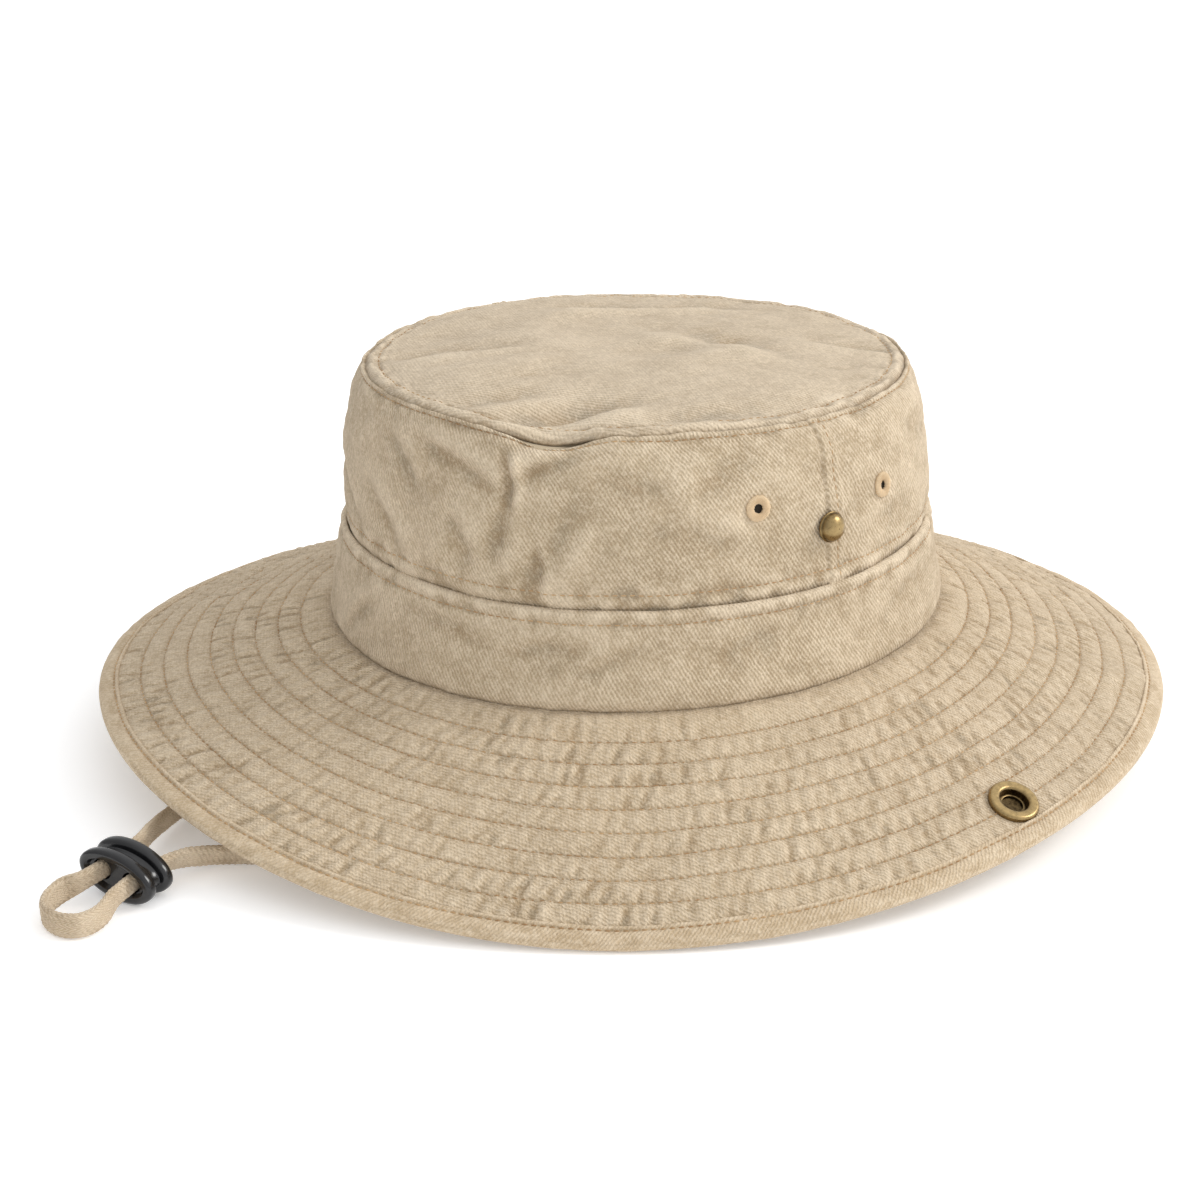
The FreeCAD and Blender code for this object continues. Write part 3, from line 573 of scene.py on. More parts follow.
def stitch_rows(name, rows, length=2.45 * MM, gap=0.62 * MM, radius=0.2 * MM):
    """Lock stitches along lines. Each row is (points, outward normals); a stitch dips at both ends."""
    ring = 6
    # Places along a stitch: (share of its length, thickness, height).
    ends = ((0.0, 0.35, -0.9), (0.14, 0.9, -0.15), (0.5, 1.0, 0.5), (0.86, 0.9, -0.15), (1.0, 0.35, -0.9))
    points, faces = [], []
    for line, normals in rows:
        run = run_of(line)
        count = int(run[-1] / length)
        if count < 1:
            continue
        starts = (np.arange(count) + 0.5) * run[-1] / count - length / 2 + gap / 2
        rings = []
        for share, thick, height in ends:
            at = starts + share * (length - gap)
            centre = points_at(line, run, at)
            along = points_at(line, run, at + 0.2 * MM) - points_at(line, run, at - 0.2 * MM)
            up = points_at(normals, run, at)
            across = unit(np.cross(up, along))
            for step in range(ring):
                turn = 2 * math.pi * step / ring
                offset = across * (math.cos(turn) * radius * thick)
                rise = up * (math.sin(turn) * radius * thick * 0.85 + height * radius)
                rings.append(centre + offset + rise)
        block = np.stack(rings, 1)
        first = len(points)
        points.extend(block.reshape(-1, 3).tolist())
        for index in range(count):
            base = first + index * ring * len(ends)
            for level in range(len(ends) - 1):
                for step in range(ring):
                    a = base + level * ring + step
                    b = base + level * ring + (step + 1) % ring
                    faces.append((a, b, b + ring, a + ring))
            faces.append(tuple(base + step for step in range(ring))[::-1])
            faces.append(tuple(base + (len(ends) - 1) * ring + step for step in range(ring)))
    return raw_mesh(name, points, faces)


# ---------------------------------------------------------------- the crown

def bezier(share, values):
    a, b, c, d = values
    rest = 1 - share
    return rest ** 3 * a + 3 * rest ** 2 * share * b + 3 * rest * share ** 2 * c + share ** 3 * d


def crease(angle, height, start, end, width, depth, girth=86.0):
    """A fold in a wall between two (degrees, millimetres) places: a valley, with a ridge beside it."""
    ax, ay = math.radians(start[0]) * girth, start[1]
    bx, by = math.radians(end[0]) * girth, end[1]
    x, y = angle * girth, height / MM
    length = math.hypot(bx - ax, by - ay)
    dx, dy = (bx - ax) / length, (by - ay) / length
    along = (x - ax) * dx + (y - ay) * dy
    bow = 0.06 * length * np.sin(np.clip(along / length, 0, 1) * np.pi)
    across = -(x - ax) * dy + (y - ay) * dx - bow
    taper = ramp(along, -0.25 * length, 0.2 * length) * (1 - ramp(along, 0.7 * length, 1.2 * length))
    return depth * MM * taper * (-bump(across, width) + 0.75 * bump(across - 1.9 * width, width * 1.2))


WALL_CREASES = (
    # start (degrees, mm), end, width, depth
    ((-62, 112), (-62, 96), 1.7, 1.6), ((-63, 96), (-66, 80), 2.6, 1.1),
    ((-80, 109), (-64, 101), 2.6, 1.3), ((-60, 104), (-48, 114), 2.4, 1.3),
    ((-50, 96), (-59, 75), 3.2, 1.0), ((-56.5, 86), (-56.5, 71), 1.4, 0.9),
    ((-99, 90), (-87, 74), 3.2, 0.9), ((-125, 92), (-104, 76), 3.0, 0.8),
    ((-44, 108), (-30, 98), 4.2, 0.7), ((-36, 92), (-18, 84), 3.6, 0.6),
    ((-26, 101), (-14, 112), 3.6, 0.6), ((-75, 92), (-70, 78), 2.8, 0.8),
    ((-92, 108), (-84, 96), 3.0, 0.8), ((8, 78), (24, 84), 3.0, 0.5), ((30, 104), (44, 94), 3.4, 0.8),
    ((70, 100), (84, 84), 3.4, 1.0), ((100, 106), (96, 86), 3.0, 1.0), ((128, 96), (146, 84), 3.6, 0.9),
    ((158, 108), (170, 96), 3.0, 0.8), ((-170, 92), (-156, 84), 3.4, 0.9),
    ((-150, 110), (-140, 96), 3.0, 1.0),
)
BAND_CREASES = (
    ((-103, 44), (-92, 58), 2.4, 0.7), ((-46, 50), (-36, 59), 2.2, 0.7), ((-82, 60), (-62, 54), 2.8, 0.7),
    ((-60, 55), (-44, 57), 2.6, 0.6), ((-24, 54), (-8, 59), 3.0, 0.5), ((12, 52), (28, 58), 2.6, 0.4),
    ((60, 47), (72, 60), 2.6, 0.7), ((104, 60), (122, 52), 2.8, 0.7), ((150, 48), (164, 58), 2.6, 0.6),
    ((-168, 58), (-150, 50), 2.8, 0.7), ((-128, 58), (-116, 50), 2.6, 0.7),
)
TIP_FOLDS = (
    # start (x, y in mm), end, width, depth
    (30, -74, 44, -34, 4.5, 1.5), (16, -78, 22, -52, 3.5, 0.8), (58, -40, 66, -8, 4.0, 0.8),
    (-34, -66, -20, -30, 5.0, 1.0), (-10, 20, 34, 34, 6.0, 0.9), (-50, 10, -30, 60, 5.0, 1.0),
    (20, 50, 40, 70, 4.0, 0.8),
)
WALL_TALL, BAND_TALL = 54 * MM, 29.5 * MM       # measured along the cloth
WALL_RADIUS, TIP_RADIUS = 85 * MM, 80 * MM
WALL_STITCH_LOW, WALL_STITCH_HIGH = 4.0 * MM, 3.7 * MM      # from the band seam, from the tip seam
BAND_STITCH, TIP_STITCH, SIDE_STITCH = 4.2 * MM, 3.9 * MM, 3.5 * MM     # each from its own seam
STUD_HEIGHT = 86.5 * MM
SIDES = (("left", 1), ("right", -1))


def on_side(side, degrees):
    """The angle of a place that both sides of the crown have, as its degrees behind the side seam."""
    return math.radians(degrees) if side > 0 else math.pi - math.radians(degrees)


EYELETS = [(place + "_" + word, on_side(side, degrees), height * MM, side)
           for word, side in SIDES
           for place, degrees, height in (("front", -15.2, 96.3), ("back", 15.2, 92.7))]


def seam_wander(angle):
    """How the seams of the crown rise and fall a little, and sink at the dent in the front."""
    u = angle / (2 * np.pi)
    return 0.55 * MM * noise(u, 0 * u, 17, 11) + 0.3 * MM * noise(u, 0 * u + 3, 43, 12)


def dent(angle):
    """The dent that the front of the tip seam has: 1 at its middle."""
    turn = np.degrees(wrapped(angle))
    return np.exp(-((turn + 53) / 9.0) ** 2)


def wall_base(angle, share):
    """The side wall as a smooth surface: share 0 is the band seam, 1 the tip seam."""
    half_x = bezier(share, (PANEL_HALF[0], 85.8 * MM, 84.8 * MM, TIP_HALF[0]))
    half_y = bezier(share, (PANEL_HALF[1], 91.4 * MM, 90.8 * MM, TIP_HALF[1]))
    height = bezier(share, (BAND_TOP, 88 * MM, 112 * MM, TIP_SEAM))
    y = half_y * np.sin(angle)
    z = height - y * np.tan(TIP_LEAN * np.maximum(share, 0) ** 1.5)
    return np.stack([half_x * np.cos(angle), y, z], -1)


def wall_place(angle, share):
    """The side wall with its folds and puckers, and its tone: how far each point stands out, with painted
    shade added along the seams and stitch lines.
    """
    u = round_share(angle)
    base = wall_base(angle, share)
    step = 0.002
    across = wall_base(angle + step, share) - wall_base(angle - step, share)
    rise = wall_base(angle, share + step) - wall_base(angle, share - step)
    normal = unit(np.cross(across, rise))
    up, down = np.maximum(share, 0) * WALL_TALL, (1 - share) * WALL_TALL
    turn = wrapped(angle)
    out = 0 * share
    for start, end, width, depth in WALL_CREASES:
        out = out + 1.25 * crease(turn, base[..., 2], start, end, width, depth)
    folds = out
    inside = ramp(up, 0.0, 9 * MM) * ramp(down, 0.0, 8 * MM)
    out = out * (0.35 + 0.65 * inside)
    out = out + 1.0 * MM * noise(u, share * 2.3, 13, 21) * inside
    out = out + 0.42 * MM * noise(u, share * 5.5 + 7, 31, 22) * inside
    crumple = noise(u, share * 13 + 2, 83, 23) + 0.6 * noise(u + 0.001 * share, share * 25 + 5, 171, 27)
    out = out + 0.20 * MM * crumple * ramp(up, 0, 3 * MM)
    # Seam allowances: a raised strip each side of the tip seam, flat above the band seam.
    low_strip = bump(up - WALL_STITCH_LOW * 0.45, 2.4 * MM)
    high_strip = bump(down - WALL_STITCH_HIGH * 0.5, 1.9 * MM)
    pucker_low = noise(u + 0.0006 * share, share * 9, 150, 24) * bump(up - WALL_STITCH_LOW * 0.6, 4.2 * MM)
    pucker_high = noise(u, share * 9, 118, 25) * bump(down - WALL_STITCH_HIGH * 0.6, 4.4 * MM)
    pucker = 0.34 * MM * pucker_low + 0.46 * MM * pucker_high
    out = out + 0.30 * MM * low_strip + 0.55 * MM * high_strip + pucker
    out = out - 0.38 * MM * bump(up - WALL_STITCH_LOW, 0.62 * MM)
    out = out - 0.42 * MM * bump(down - WALL_STITCH_HIGH, 0.62 * MM)
    out = out - 1.15 * MM * bump(down, 0.75 * MM) - 0.68 * MM * bump(up, 1.2 * MM)
    # The side seams: the back panel is lapped over the front one and stitched down.
    for middle in (0.0, np.pi):
        behind = wrapped(angle - middle) * WALL_RADIUS
        behind = behind if middle == 0.0 else -behind
        lap = ramp(behind, -0.15 * MM, 0.5 * MM) * (1 - ramp(behind, 4.4 * MM, 6.4 * MM))
        out = out + 0.55 * MM * lap - 0.35 * MM * bump(behind + 0.25 * MM, 0.45 * MM)
        out = out - 0.34 * MM * bump(behind - SIDE_STITCH, 0.5 * MM)
        pull = noise(share * 0.5, 0 * share + 1, 18, 26)
        out = out + 0.22 * MM * pull * bump(behind - 2 * MM, 3.4 * MM)
    out = out - 2.6 * MM * dent(angle) * ramp(share, 0.72, 1.0)
    sink = 3.6 * MM * dent(angle) * ramp(share, 0.6, 1.0)
    for _, centre, centre_height, _ in EYELETS:
        off = np.hypot(wrapped(angle - centre) * 84 * MM, base[..., 2] - centre_height)
        out = out * ramp(off, 2.5 * MM, 9 * MM) - 1.6 * MM * (1 - ramp(off, 1.3 * MM, 2.1 * MM))
    points = base + normal * out[..., None]
    points[..., 2] += seam_wander(angle) * (0.6 * (1 - share) + share) - sink
    # Tone: painted shade in the fold valleys, along both seams and along the stitch lines. Ridges and seam
    # strips are paler, for wear and a painted highlight.
    tone = folds / (1.2 * MM) + (pucker_low + pucker_high) * 1.5 + 0.30 * crumple
    tone = tone + 0.25 * noise(u, share * 5.5 + 7, 31, 22)
    tone = tone - 2.4 * bump(down, 0.75 * MM) - 1.0 * bump(up, 1.1 * MM)
    tone = tone + 0.45 * high_strip + 0.2 * low_strip
    tone = tone - 0.7 * bump(up - WALL_STITCH_LOW, 0.8 * MM) - 0.7 * bump(down - WALL_STITCH_HIGH, 0.8 * MM)
    return points, tone


def tip_place(angle, radius):
    """The tip: radius 0 is its middle, 1 the seam."""
    u = round_share(angle)
    y = TIP_HALF[1] * radius * np.sin(angle)
    x = TIP_HALF[0] * radius * np.cos(angle)
    z = TIP_SEAM + TIP_DOME * (1 - radius ** 3) - y * math.tan(TIP_LEAN) + 0.4 * MM
    inward = (1 - radius) * TIP_RADIUS
    flat_u, flat_v = x * 12 + 0.5, y * 22 + 20
    swell = noise(flat_u / 4, flat_v * 2.2, 25, 32)
    soft = 1.6 * MM * noise(flat_u / 4, flat_v * 0.8, 9, 31) + 0.8 * MM * swell
    crumple = noise(flat_u / 4, flat_v * 6, 71, 34) + 0.6 * noise(flat_u / 4, flat_v * 13, 149, 35)
    soft = soft + 0.2 * MM * crumple
    strip = bump(inward - 2 * MM, 2.0 * MM)
    pucker_noise = noise(u, radius * 60, 124, 33) * bump(inward - 3.0 * MM, 3.6 * MM)
    stitch = bump(inward - TIP_STITCH, 0.6 * MM)
    z = z + soft * ramp(inward, 1 * MM, 18 * MM) + 0.5 * MM * strip + 0.44 * MM * pucker_noise
    z = z - 0.42 * MM * stitch - 0.9 * MM * bump(inward, 0.8 * MM)
    folds = 0 * x
    for ax, ay, bx, by, width, depth in TIP_FOLDS:
        length = math.hypot(bx - ax, by - ay)
        along = ((x / MM - ax) * (bx - ax) + (y / MM - ay) * (by - ay)) / length
        across = ((x / MM - ax) * (by - ay) - (y / MM - ay) * (bx - ax)) / length
        taper = ramp(along, -0.2 * length, 0.2 * length) * (1 - ramp(along, 0.7 * length, 1.2 * length))
        valley = -bump(across, width) + 0.8 * bump(across - 1.9 * width, width)
        folds = folds + 1.3 * depth * MM * taper * valley
    z = z + folds * ramp(inward, 0, 6 * MM)
    hollow = dent(angle) * ramp(radius, 0.45, 1.0)
    z = z - 3.6 * MM * hollow + seam_wander(angle) * ramp(radius, 0.6, 1.0)
    shift = 1 - 2.6 * MM * dent(angle) * ramp(radius, 0.7, 1.0) / TIP_RADIUS
    # Tone: painted shade along the seam, the stitch line and the fold valleys. The puckers' tops and the seam
    # strip are paler, for wear and a painted highlight.
    tone = pucker_noise * 1.6 + folds / (1.4 * MM) - 1.6 * bump(inward, 0.7 * MM) + 0.55 * strip
    tone = tone - 0.7 * stitch + 0.25 * crumple + 0.3 * swell
    return np.stack([x * shift, y * shift, z], -1), tone


def band_place(angle, share):
    """The lower band: share 0 is the brim's seam, 1 the panels' seam, where its fold stands proud."""
    u = round_share(angle)
    half_x = BAND_HALF[0] + (PANEL_HALF[0] - BAND_HALF[0]) * share
    half_y = BAND_HALF[1] + (PANEL_HALF[1] - BAND_HALF[1]) * share
    up, down = share * BAND_TALL, (1 - share) * BAND_TALL
    turn = wrapped(angle)
    height = BAND_FOOT + share * (BAND_TOP - BAND_FOOT)
    out = 0.9 * MM * ramp(up, 0, 3 * MM) * ramp(down, 0, 0.9 * MM)
    folds = 0 * share
    for start, end, width, depth in BAND_CREASES:
        folds = folds + crease(turn, height, start, end, width, depth, girth=94.0)
    inside = ramp(up, 0.5 * MM, 7 * MM) * ramp(down, 3 * MM, 9 * MM)
    out = out + folds * inside + 0.5 * MM * noise(u, share * 1.7, 17, 41) * ramp(up, 0, 8 * MM)
    swell = noise(u, share * 5, 47, 42)
    out = out + 0.22 * MM * swell
    pucker_noise = noise(u + 0.0009 * share * 3, share * 5, 168, 43) * bump(down - 2.6 * MM, 3.2 * MM)
    out = out + 0.24 * MM * pucker_noise - 0.38 * MM * bump(down - BAND_STITCH, 0.6 * MM)
    out = out + 0.25 * MM * bump(down - 2.2 * MM, 1.5 * MM) - 0.5 * MM * bump(up, 0.6 * MM)
    crumple = noise(u, share * 8 + 3, 131, 44) + 0.5 * noise(u, share * 15, 223, 45)
    out = out + 0.12 * MM * crumple
    slope = math.atan2(BAND_HALF[0] - PANEL_HALF[0], BAND_TOP - BAND_FOOT)
    x, y = half_x * np.cos(angle), half_y * np.sin(angle)
    nx, ny = np.cos(angle) / half_x, np.sin(angle) / half_y
    size = np.hypot(nx, ny)
    points = np.stack([x + nx / size * out, y + ny / size * out, height + out * math.sin(slope)], -1)
    points[..., 2] += seam_wander(angle) * 0.6 * ramp(share, 0.3, 1.0)
    # Tone: painted shade at the brim seam, along the stitch line and in the crease valleys. The proud fold
    # under the top seam is paler, for wear and a painted highlight.
    tone = folds / (0.9 * MM) + pucker_noise * 1.5 + 0.3 * swell + 0.3 * crumple
    tone = tone + 0.95 * bump(down - 0.9 * MM, 1.0 * MM) - 1.2 * bump(up, 0.8 * MM)
    tone = tone - 0.7 * bump(down - BAND_STITCH, 0.8 * MM)
    return points, tone


def shell(node, place, angles, shares, cloth, uv_scale, back_rows, thickness=CLOTH):
    """A cloth with a detailed face and a plainer back, closed along both of its edges, in place of a
    CAD node. The cloth is (the end of the piece's name, material, slot); its slot is not used."""
    ending, material, slot = cloth
    angle, share = np.meshgrid(angles, shares, indexing="ij")
    face, tone = place(angle, share)
    keep = [int(round(i)) for i in np.linspace(len(shares) - 1, 0, back_rows)]
    back = face[:, keep] - grid_normals(face)[:, keep] * thickness
    points = np.concatenate([face, back], 1)
    relief = np.concatenate([tone, np.zeros((len(angles), back_rows))], 1)
    closed = np.concatenate([points, points[:, :1]], 1)
    run = run_of(closed[len(angles) // 2])
    uv = np.stack(np.meshgrid(angles * uv_scale, run, indexing="ij"), -1)
    piece = grid_mesh(node + ending, points, closed_v=True, uv=uv, relief=relief)
    fit_out(piece, material, "crown", [node])


def rows_of(place, angle, share, flip=False):
    """A stitch line on a placed surface, with its normals, smoothed along it."""
    step = 0.004
    here, _ = place(angle, share)
    side, _ = place(angle + step, share)
    above, _ = place(angle, share + step)
    normal = unit(np.cross(side - here, above - here))
    kernel = np.ones(5) / 5
    normal = np.stack([np.convolve(np.pad(normal[:, axis], 2, mode="edge"), kernel, "valid")
                       for axis in range(3)], -1)
    return here, -normal if flip else normal


def build_crown():
    twill_cloth = ("_twill", CROWN_TWILL, "washed_twill")
    wall_shares = segments((-0.035, 0.14, 19), (0.14, 0.84, 50), (0.84, 1, 22))
    band_shares = segments((0, 0.08, 6), (0.08, 0.75, 30), (0.75, 1, 22))
    shell("side_panel_front", wall_place, np.linspace(-np.pi, 0, 620), wall_shares, twill_cloth, 88 * MM, 36)
    shell("side_panel_back", wall_place, np.linspace(0, np.pi, 470), wall_shares, twill_cloth, 88 * MM, 36)
    shell("lower_band", band_place, np.linspace(-np.pi, np.pi, 1000), band_shares, twill_cloth, 94 * MM, 22)

    radii = np.concatenate([np.linspace(0.004, 0.85, 52), np.linspace(0.86, 1.0, 22)])
    angle, radius = np.meshgrid(np.linspace(-np.pi, np.pi, 721)[:-1], radii, indexing="ij")
    face, tone = tip_place(angle, radius)
    back = face[:, ::-1][:, ::3].copy()
    back[..., 2] -= CLOTH
    points = np.concatenate([face, back], 1)
    relief = np.concatenate([tone, np.zeros(back.shape[:2])], 1)
    uv = np.concatenate([points, points[:1]], 0)[..., :2]
    tip = grid_mesh("crown_tip_twill", points, closed_u=True, uv=uv, relief=relief)
    fit_out(tip, TIP_TWILL, "crown", ["crown_tip"])

    angles = np.linspace(-np.pi, np.pi, 1200)
    rows = [rows_of(place, angles, share + 0 * angles, flip) for place, share, flip in (
        (wall_place, WALL_STITCH_LOW / WALL_TALL, False),
        (wall_place, 1 - WALL_STITCH_HIGH / WALL_TALL, False),
        (band_place, 1 - BAND_STITCH / BAND_TALL, False),
        (tip_place, 1 - TIP_STITCH / TIP_RADIUS, True))]
    shares = np.linspace(0.02, 0.97, 90)
    for _, side in SIDES:
        angle = on_side(side, math.degrees(SIDE_STITCH / WALL_RADIUS))
        rows.append(rows_of(wall_place, angle + 0 * shares, shares))
    fit_out(stitch_rows("crown_stitches", rows), STITCH, "crown")


def build_linings():
    """Inside the crown: the sweatband and the tapes that cover the seams."""
    full = np.linspace(-np.pi, np.pi, 420)

    tape_thick, tape_half_wide = 0.6 * MM, 6 * MM
    linen = ("_cloth", LINING, "sweatband_cloth")
    tape = ("_cloth", TAPE, "seam_tape")

    def inner(place, low, high, inset, ripple):
        """A surface inside another one, over its shares from low to high."""
        def made(angle, share):
            base, _ = place(angle, low + (high - low) * share)
            out_x, out_y = np.cos(angle) / BAND_HALF[0], np.sin(angle) / BAND_HALF[1]
            size = np.hypot(out_x, out_y)
            wave = noise(round_share(angle), share * 3, 60, 51)
            depth = inset + ripple * wave + 0.45 * MM * (bump(share, 0.06) + bump(share - 1, 0.06))
            moved = base.copy()
            moved[..., 0] -= out_x / size * depth
            moved[..., 1] -= out_y / size * depth
            return moved, 0.7 * wave
        return made

    for node, place, low, high, inset, cloth in (
            ("sweatband", band_place, 0.04, 0.92, 2.6 * MM, linen),
            ("band_seam_tape", wall_place, 0.01, 0.15, 2.6 * MM, tape),
            ("tip_seam_tape", wall_place, 0.74, 0.96, 3.6 * MM, tape)):
        made = inner(place, low, high, inset, 0.25 * MM)
        shell(node, made, full, np.linspace(0, 1, 24), cloth, 90 * MM, 8, tape_thick)
        lines = [rows_of(made, full, share + 0 * full) for share in (0.12, 0.88)]
        rows = [(points - normals * 0.75 * MM, -normals) for points, normals in lines]
        fit_out(stitch_rows(node + "_stitches", rows), STITCH, "crown")
    made = inner(wall_place, 0.16, 0.72, 2.4 * MM, 0.15 * MM)
    for word, side in SIDES:
        reach = tape_half_wide / WALL_RADIUS
        angles = np.linspace(on_side(side, 0) - reach, on_side(side, 0) + reach, 30)
        shell("side_seam_tape_" + word, made, angles, np.linspace(0, 1, 40), tape, WALL_RADIUS, 20,
              tape_thick)


def build_tabs():
    """The two cloth tabs that hold the cord's ends: cushions with flat edges."""
    for word, side in SIDES:
        low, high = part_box("cord_tab_" + word)
        across, up = np.meshgrid(np.linspace(0, 1, 26), np.linspace(0, 1, 26), indexing="ij")
        bulge = (1 - (2 * across - 1) ** 6) * (1 - (2 * up - 1) ** 6)
        middle_x = (low.x + high.x) / 2
        sheet_points = []
        for face in (1, -1):
            x = middle_x + face * side * (0.5 + 0.9 * bulge) * MM
            y = low.y + (high.y - low.y) * across
            z = low.z + (high.z - low.z) * up
            sheet_points.append(np.stack([x, y, z], -1))
        points = np.concatenate([sheet_points[0], sheet_points[1][:, ::-1]], 1)
        if side > 0:
            points = points[::-1]
        uv = np.stack([points[..., 1], points[..., 2]], -1)
        uv = np.concatenate([uv, uv[:, :1]], 1)
        tab = grid_mesh("cord_tab_" + word + "_cloth", points, closed_v=True, uv=uv)
        fit_out(tab, TAPE, "crown", ["cord_tab_" + word])


# ---------------------------------------------------------------- the brim

WAVES = ((1.8, 268, 1), (7.5, 53, 2), (1.7, 16, 3), (0.9, 88, 4))       # mm, degrees, order
FIRST_ROW, ROW_PITCH, ROW_COUNT = 9.9 * MM, 7.35 * MM, 8
ROWS = [FIRST_ROW + ROW_PITCH * index for index in range(ROW_COUNT)]
BINDING_START = SLOPE - BINDING
SOCKET_DOWN = 56 * MM               # a socket's middle, measured down the slope
INNER_EDGE = -0.9 * MM              # the brim's cloth runs a little way in under the band


def middle_of(node):
    """The middle of a small round CAD part."""
    low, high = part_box(node)
    return (low + high) / 2


SOCKETS = [middle_of("socket_ring_" + word) for word, _ in SIDES]


def edge_wave(angle):
    return sum(size * MM * np.cos(order * (angle - math.radians(at))) for size, at, order in WAVES)


LOWEST_WAVE = float(edge_wave(np.linspace(0, 2 * np.pi, 720, endpoint=False)).min())


def brim_base(angle, distance):
    """A point of the brim's smooth top face, a distance down its slope."""
    x, y = BAND_HALF[0] * np.cos(angle), BAND_HALF[1] * np.sin(angle)
    nx, ny = np.cos(angle) / BAND_HALF[0], np.sin(angle) / BAND_HALF[1]
    size = np.hypot(nx, ny)
    drop = BAND_FOOT - EDGE_DEPTH - (edge_wave(angle) - LOWEST_WAVE)
    reach = np.sqrt(SLOPE ** 2 - drop ** 2)
    share = distance / SLOPE
    return np.stack([x + nx / size * reach * share, y + ny / size * reach * share,
                     BAND_FOOT - drop * share], -1)


def brim_normal(angle, distance):
    step = 0.002
    across = brim_base(angle + step, distance) - brim_base(angle - step, distance)
    down = brim_base(angle, distance + 0.1 * MM) - brim_base(angle, distance - 0.1 * MM)
    return unit(np.cross(down, across))


def row_wander(angle, index):
    """How far a stitch row strays from its place."""
    return 0.32 * MM * noise(round_share(angle), 0 * angle + index * 1.37, 19, 61)


def brim_swell(angle, distance):
    """The brim's slow swells and its soft fold at the back left, and none at the crown."""
    u = round_share(angle)
    turn = np.degrees(wrapped(angle))
    share = distance / SLOPE
    swell = 1.0 * MM * noise(u, share * 1.6, 15, 62) * ramp(share, 0.05, 0.6)
    swell = swell + 0.5 * MM * noise(u, share * 3.5, 37, 63) * ramp(share, 0.05, 0.4)
    fold = (turn - (26 + 17 * share)) / 57.3 * (90 * MM + distance)
    swell = swell + 1.5 * MM * bump(fold, 7 * MM) * ramp(share, 0, 0.25) * (1 - 0.5 * ramp(share, 0.7, 1.0))
    return swell * (1 - 0.75 * ramp(share, 0.86, 1.0))


def brim_quilt(angle, distance):
    """The height of the quilting between the stitch rows, and its tone: tufts paler, for wear and a painted
    highlight, and painted shade in the dimples and along the stitch rows.
    """
    u = round_share(angle)
    lines = [0.0] + ROWS + [BINDING_START + 1.2 * MM]
    height, tone = 0 * distance, 0 * distance
    for index, (start, end) in enumerate(zip(lines, lines[1:])):
        low = start + (row_wander(angle, index) if index > 0 else 0)
        high = end + (row_wander(angle, index + 1) if index + 1 < len(lines) - 1 else 0)
        share = (distance - low) / (high - low)
        within = (share >= 0) & (share <= 1)
        share = np.clip(share, 0, 1)
        pillow = (4 * share * (1 - share)) ** 0.6
        cells = int((2 * math.pi * (95 + 7 * index)) / 2.5)
        slant = 0.0032 * (share - 0.5) * (1 if index % 2 else 0.5)
        beat = u + slant + 0.0022 * noise(u, 0 * u + index * 3.1, 71, 65) / (1 + 0.08 * index)
        regular = np.cos(2 * np.pi * (int(cells * 0.53) * beat + 0.37 * index))
        tufts = 0.42 * regular + 0.8 * noise(u + slant, share * 1.15 + index * 5, cells, 70 + index)
        fine = noise(u - slant, share * 2.2 + index * 5, cells * 2, 90 + index)
        mood = 0.85 + 0.35 * noise(u, index * 0.55 + 0 * u, 23, 64)
        coarse = noise(u + slant, share * 0.8 + index * 7, cells // 3, 110 + index)
        lump = (0.8 * tufts + 0.25 * fine + 0.3 * coarse) * mood * (0.3 + 0.7 * pillow)
        height = np.where(within, 0.55 * MM * pillow + 0.58 * MM * lump, height)
        # Painted shade in the dimples between the tufts. The tufts' tops are paler, for wear and a painted
        # highlight.
        dimple = np.maximum(-lump - 0.12, 0) * ramp(share, -0.3, 0.5)
        tone = np.where(within, 0.28 + 0.6 * np.maximum(lump, 0) - 2.9 * dimple + 0.3 * (pillow - 0.72), tone)
    for index, line in enumerate(ROWS, start=1):
        off = distance - line - row_wander(angle, index)
        height = height - 0.14 * MM * bump(off, 0.4 * MM)
        # Painted shade along each stitch row.
        tone = tone - 0.9 * bump(off, 0.5 * MM)
    return height, tone


def brim_top(angle, distance):
    height, tone = brim_quilt(angle, distance)
    height = height - 0.5 * MM * bump(distance, 1.2 * MM)
    out = height + brim_swell(angle, distance)
    base = brim_base(angle, distance)
    for centre in SOCKETS:
        off = np.hypot(base[..., 0] - centre.x, base[..., 1] - centre.y)
        flat = ramp(off, 5.5 * MM, 15 * MM)
        out = out * flat + 0.25 * MM * (1 - flat) - 2.2 * MM * (1 - ramp(off, 4.4 * MM, 6.0 * MM))
    return base + brim_normal(angle, distance) * out[..., None], tone


def brim_under(angle, distance):
    height, tone = brim_quilt(angle + 0.37, distance)
    out = -BRIM_THICK - 0.6 * height + brim_swell(angle, distance)
    points = brim_base(angle, distance) + brim_normal(angle, distance) * out[..., None]
    points[..., 2] = np.maximum(points[..., 2], 0.3 * MM)
    return points, 0.8 * tone


HALVES = {"left": (-np.pi / 2, np.pi / 2), "right": (np.pi / 2, 3 * np.pi / 2)}


def half_grid(place, start, end, columns, distances, margin=3):
    """A half's grid with its normals taken a few columns beyond both ends, so that halves match."""
    step = (end - start) / columns
    angles = start + step * (np.arange(columns + 1 + 2 * margin) - margin)
    angle, distance = np.meshgrid(angles, distances, indexing="ij")
    points, tone = place(angle, distance)
    normals = -grid_normals(points)
    inner = slice(margin, -margin)
    return points[inner], tone[inner], normals[inner]


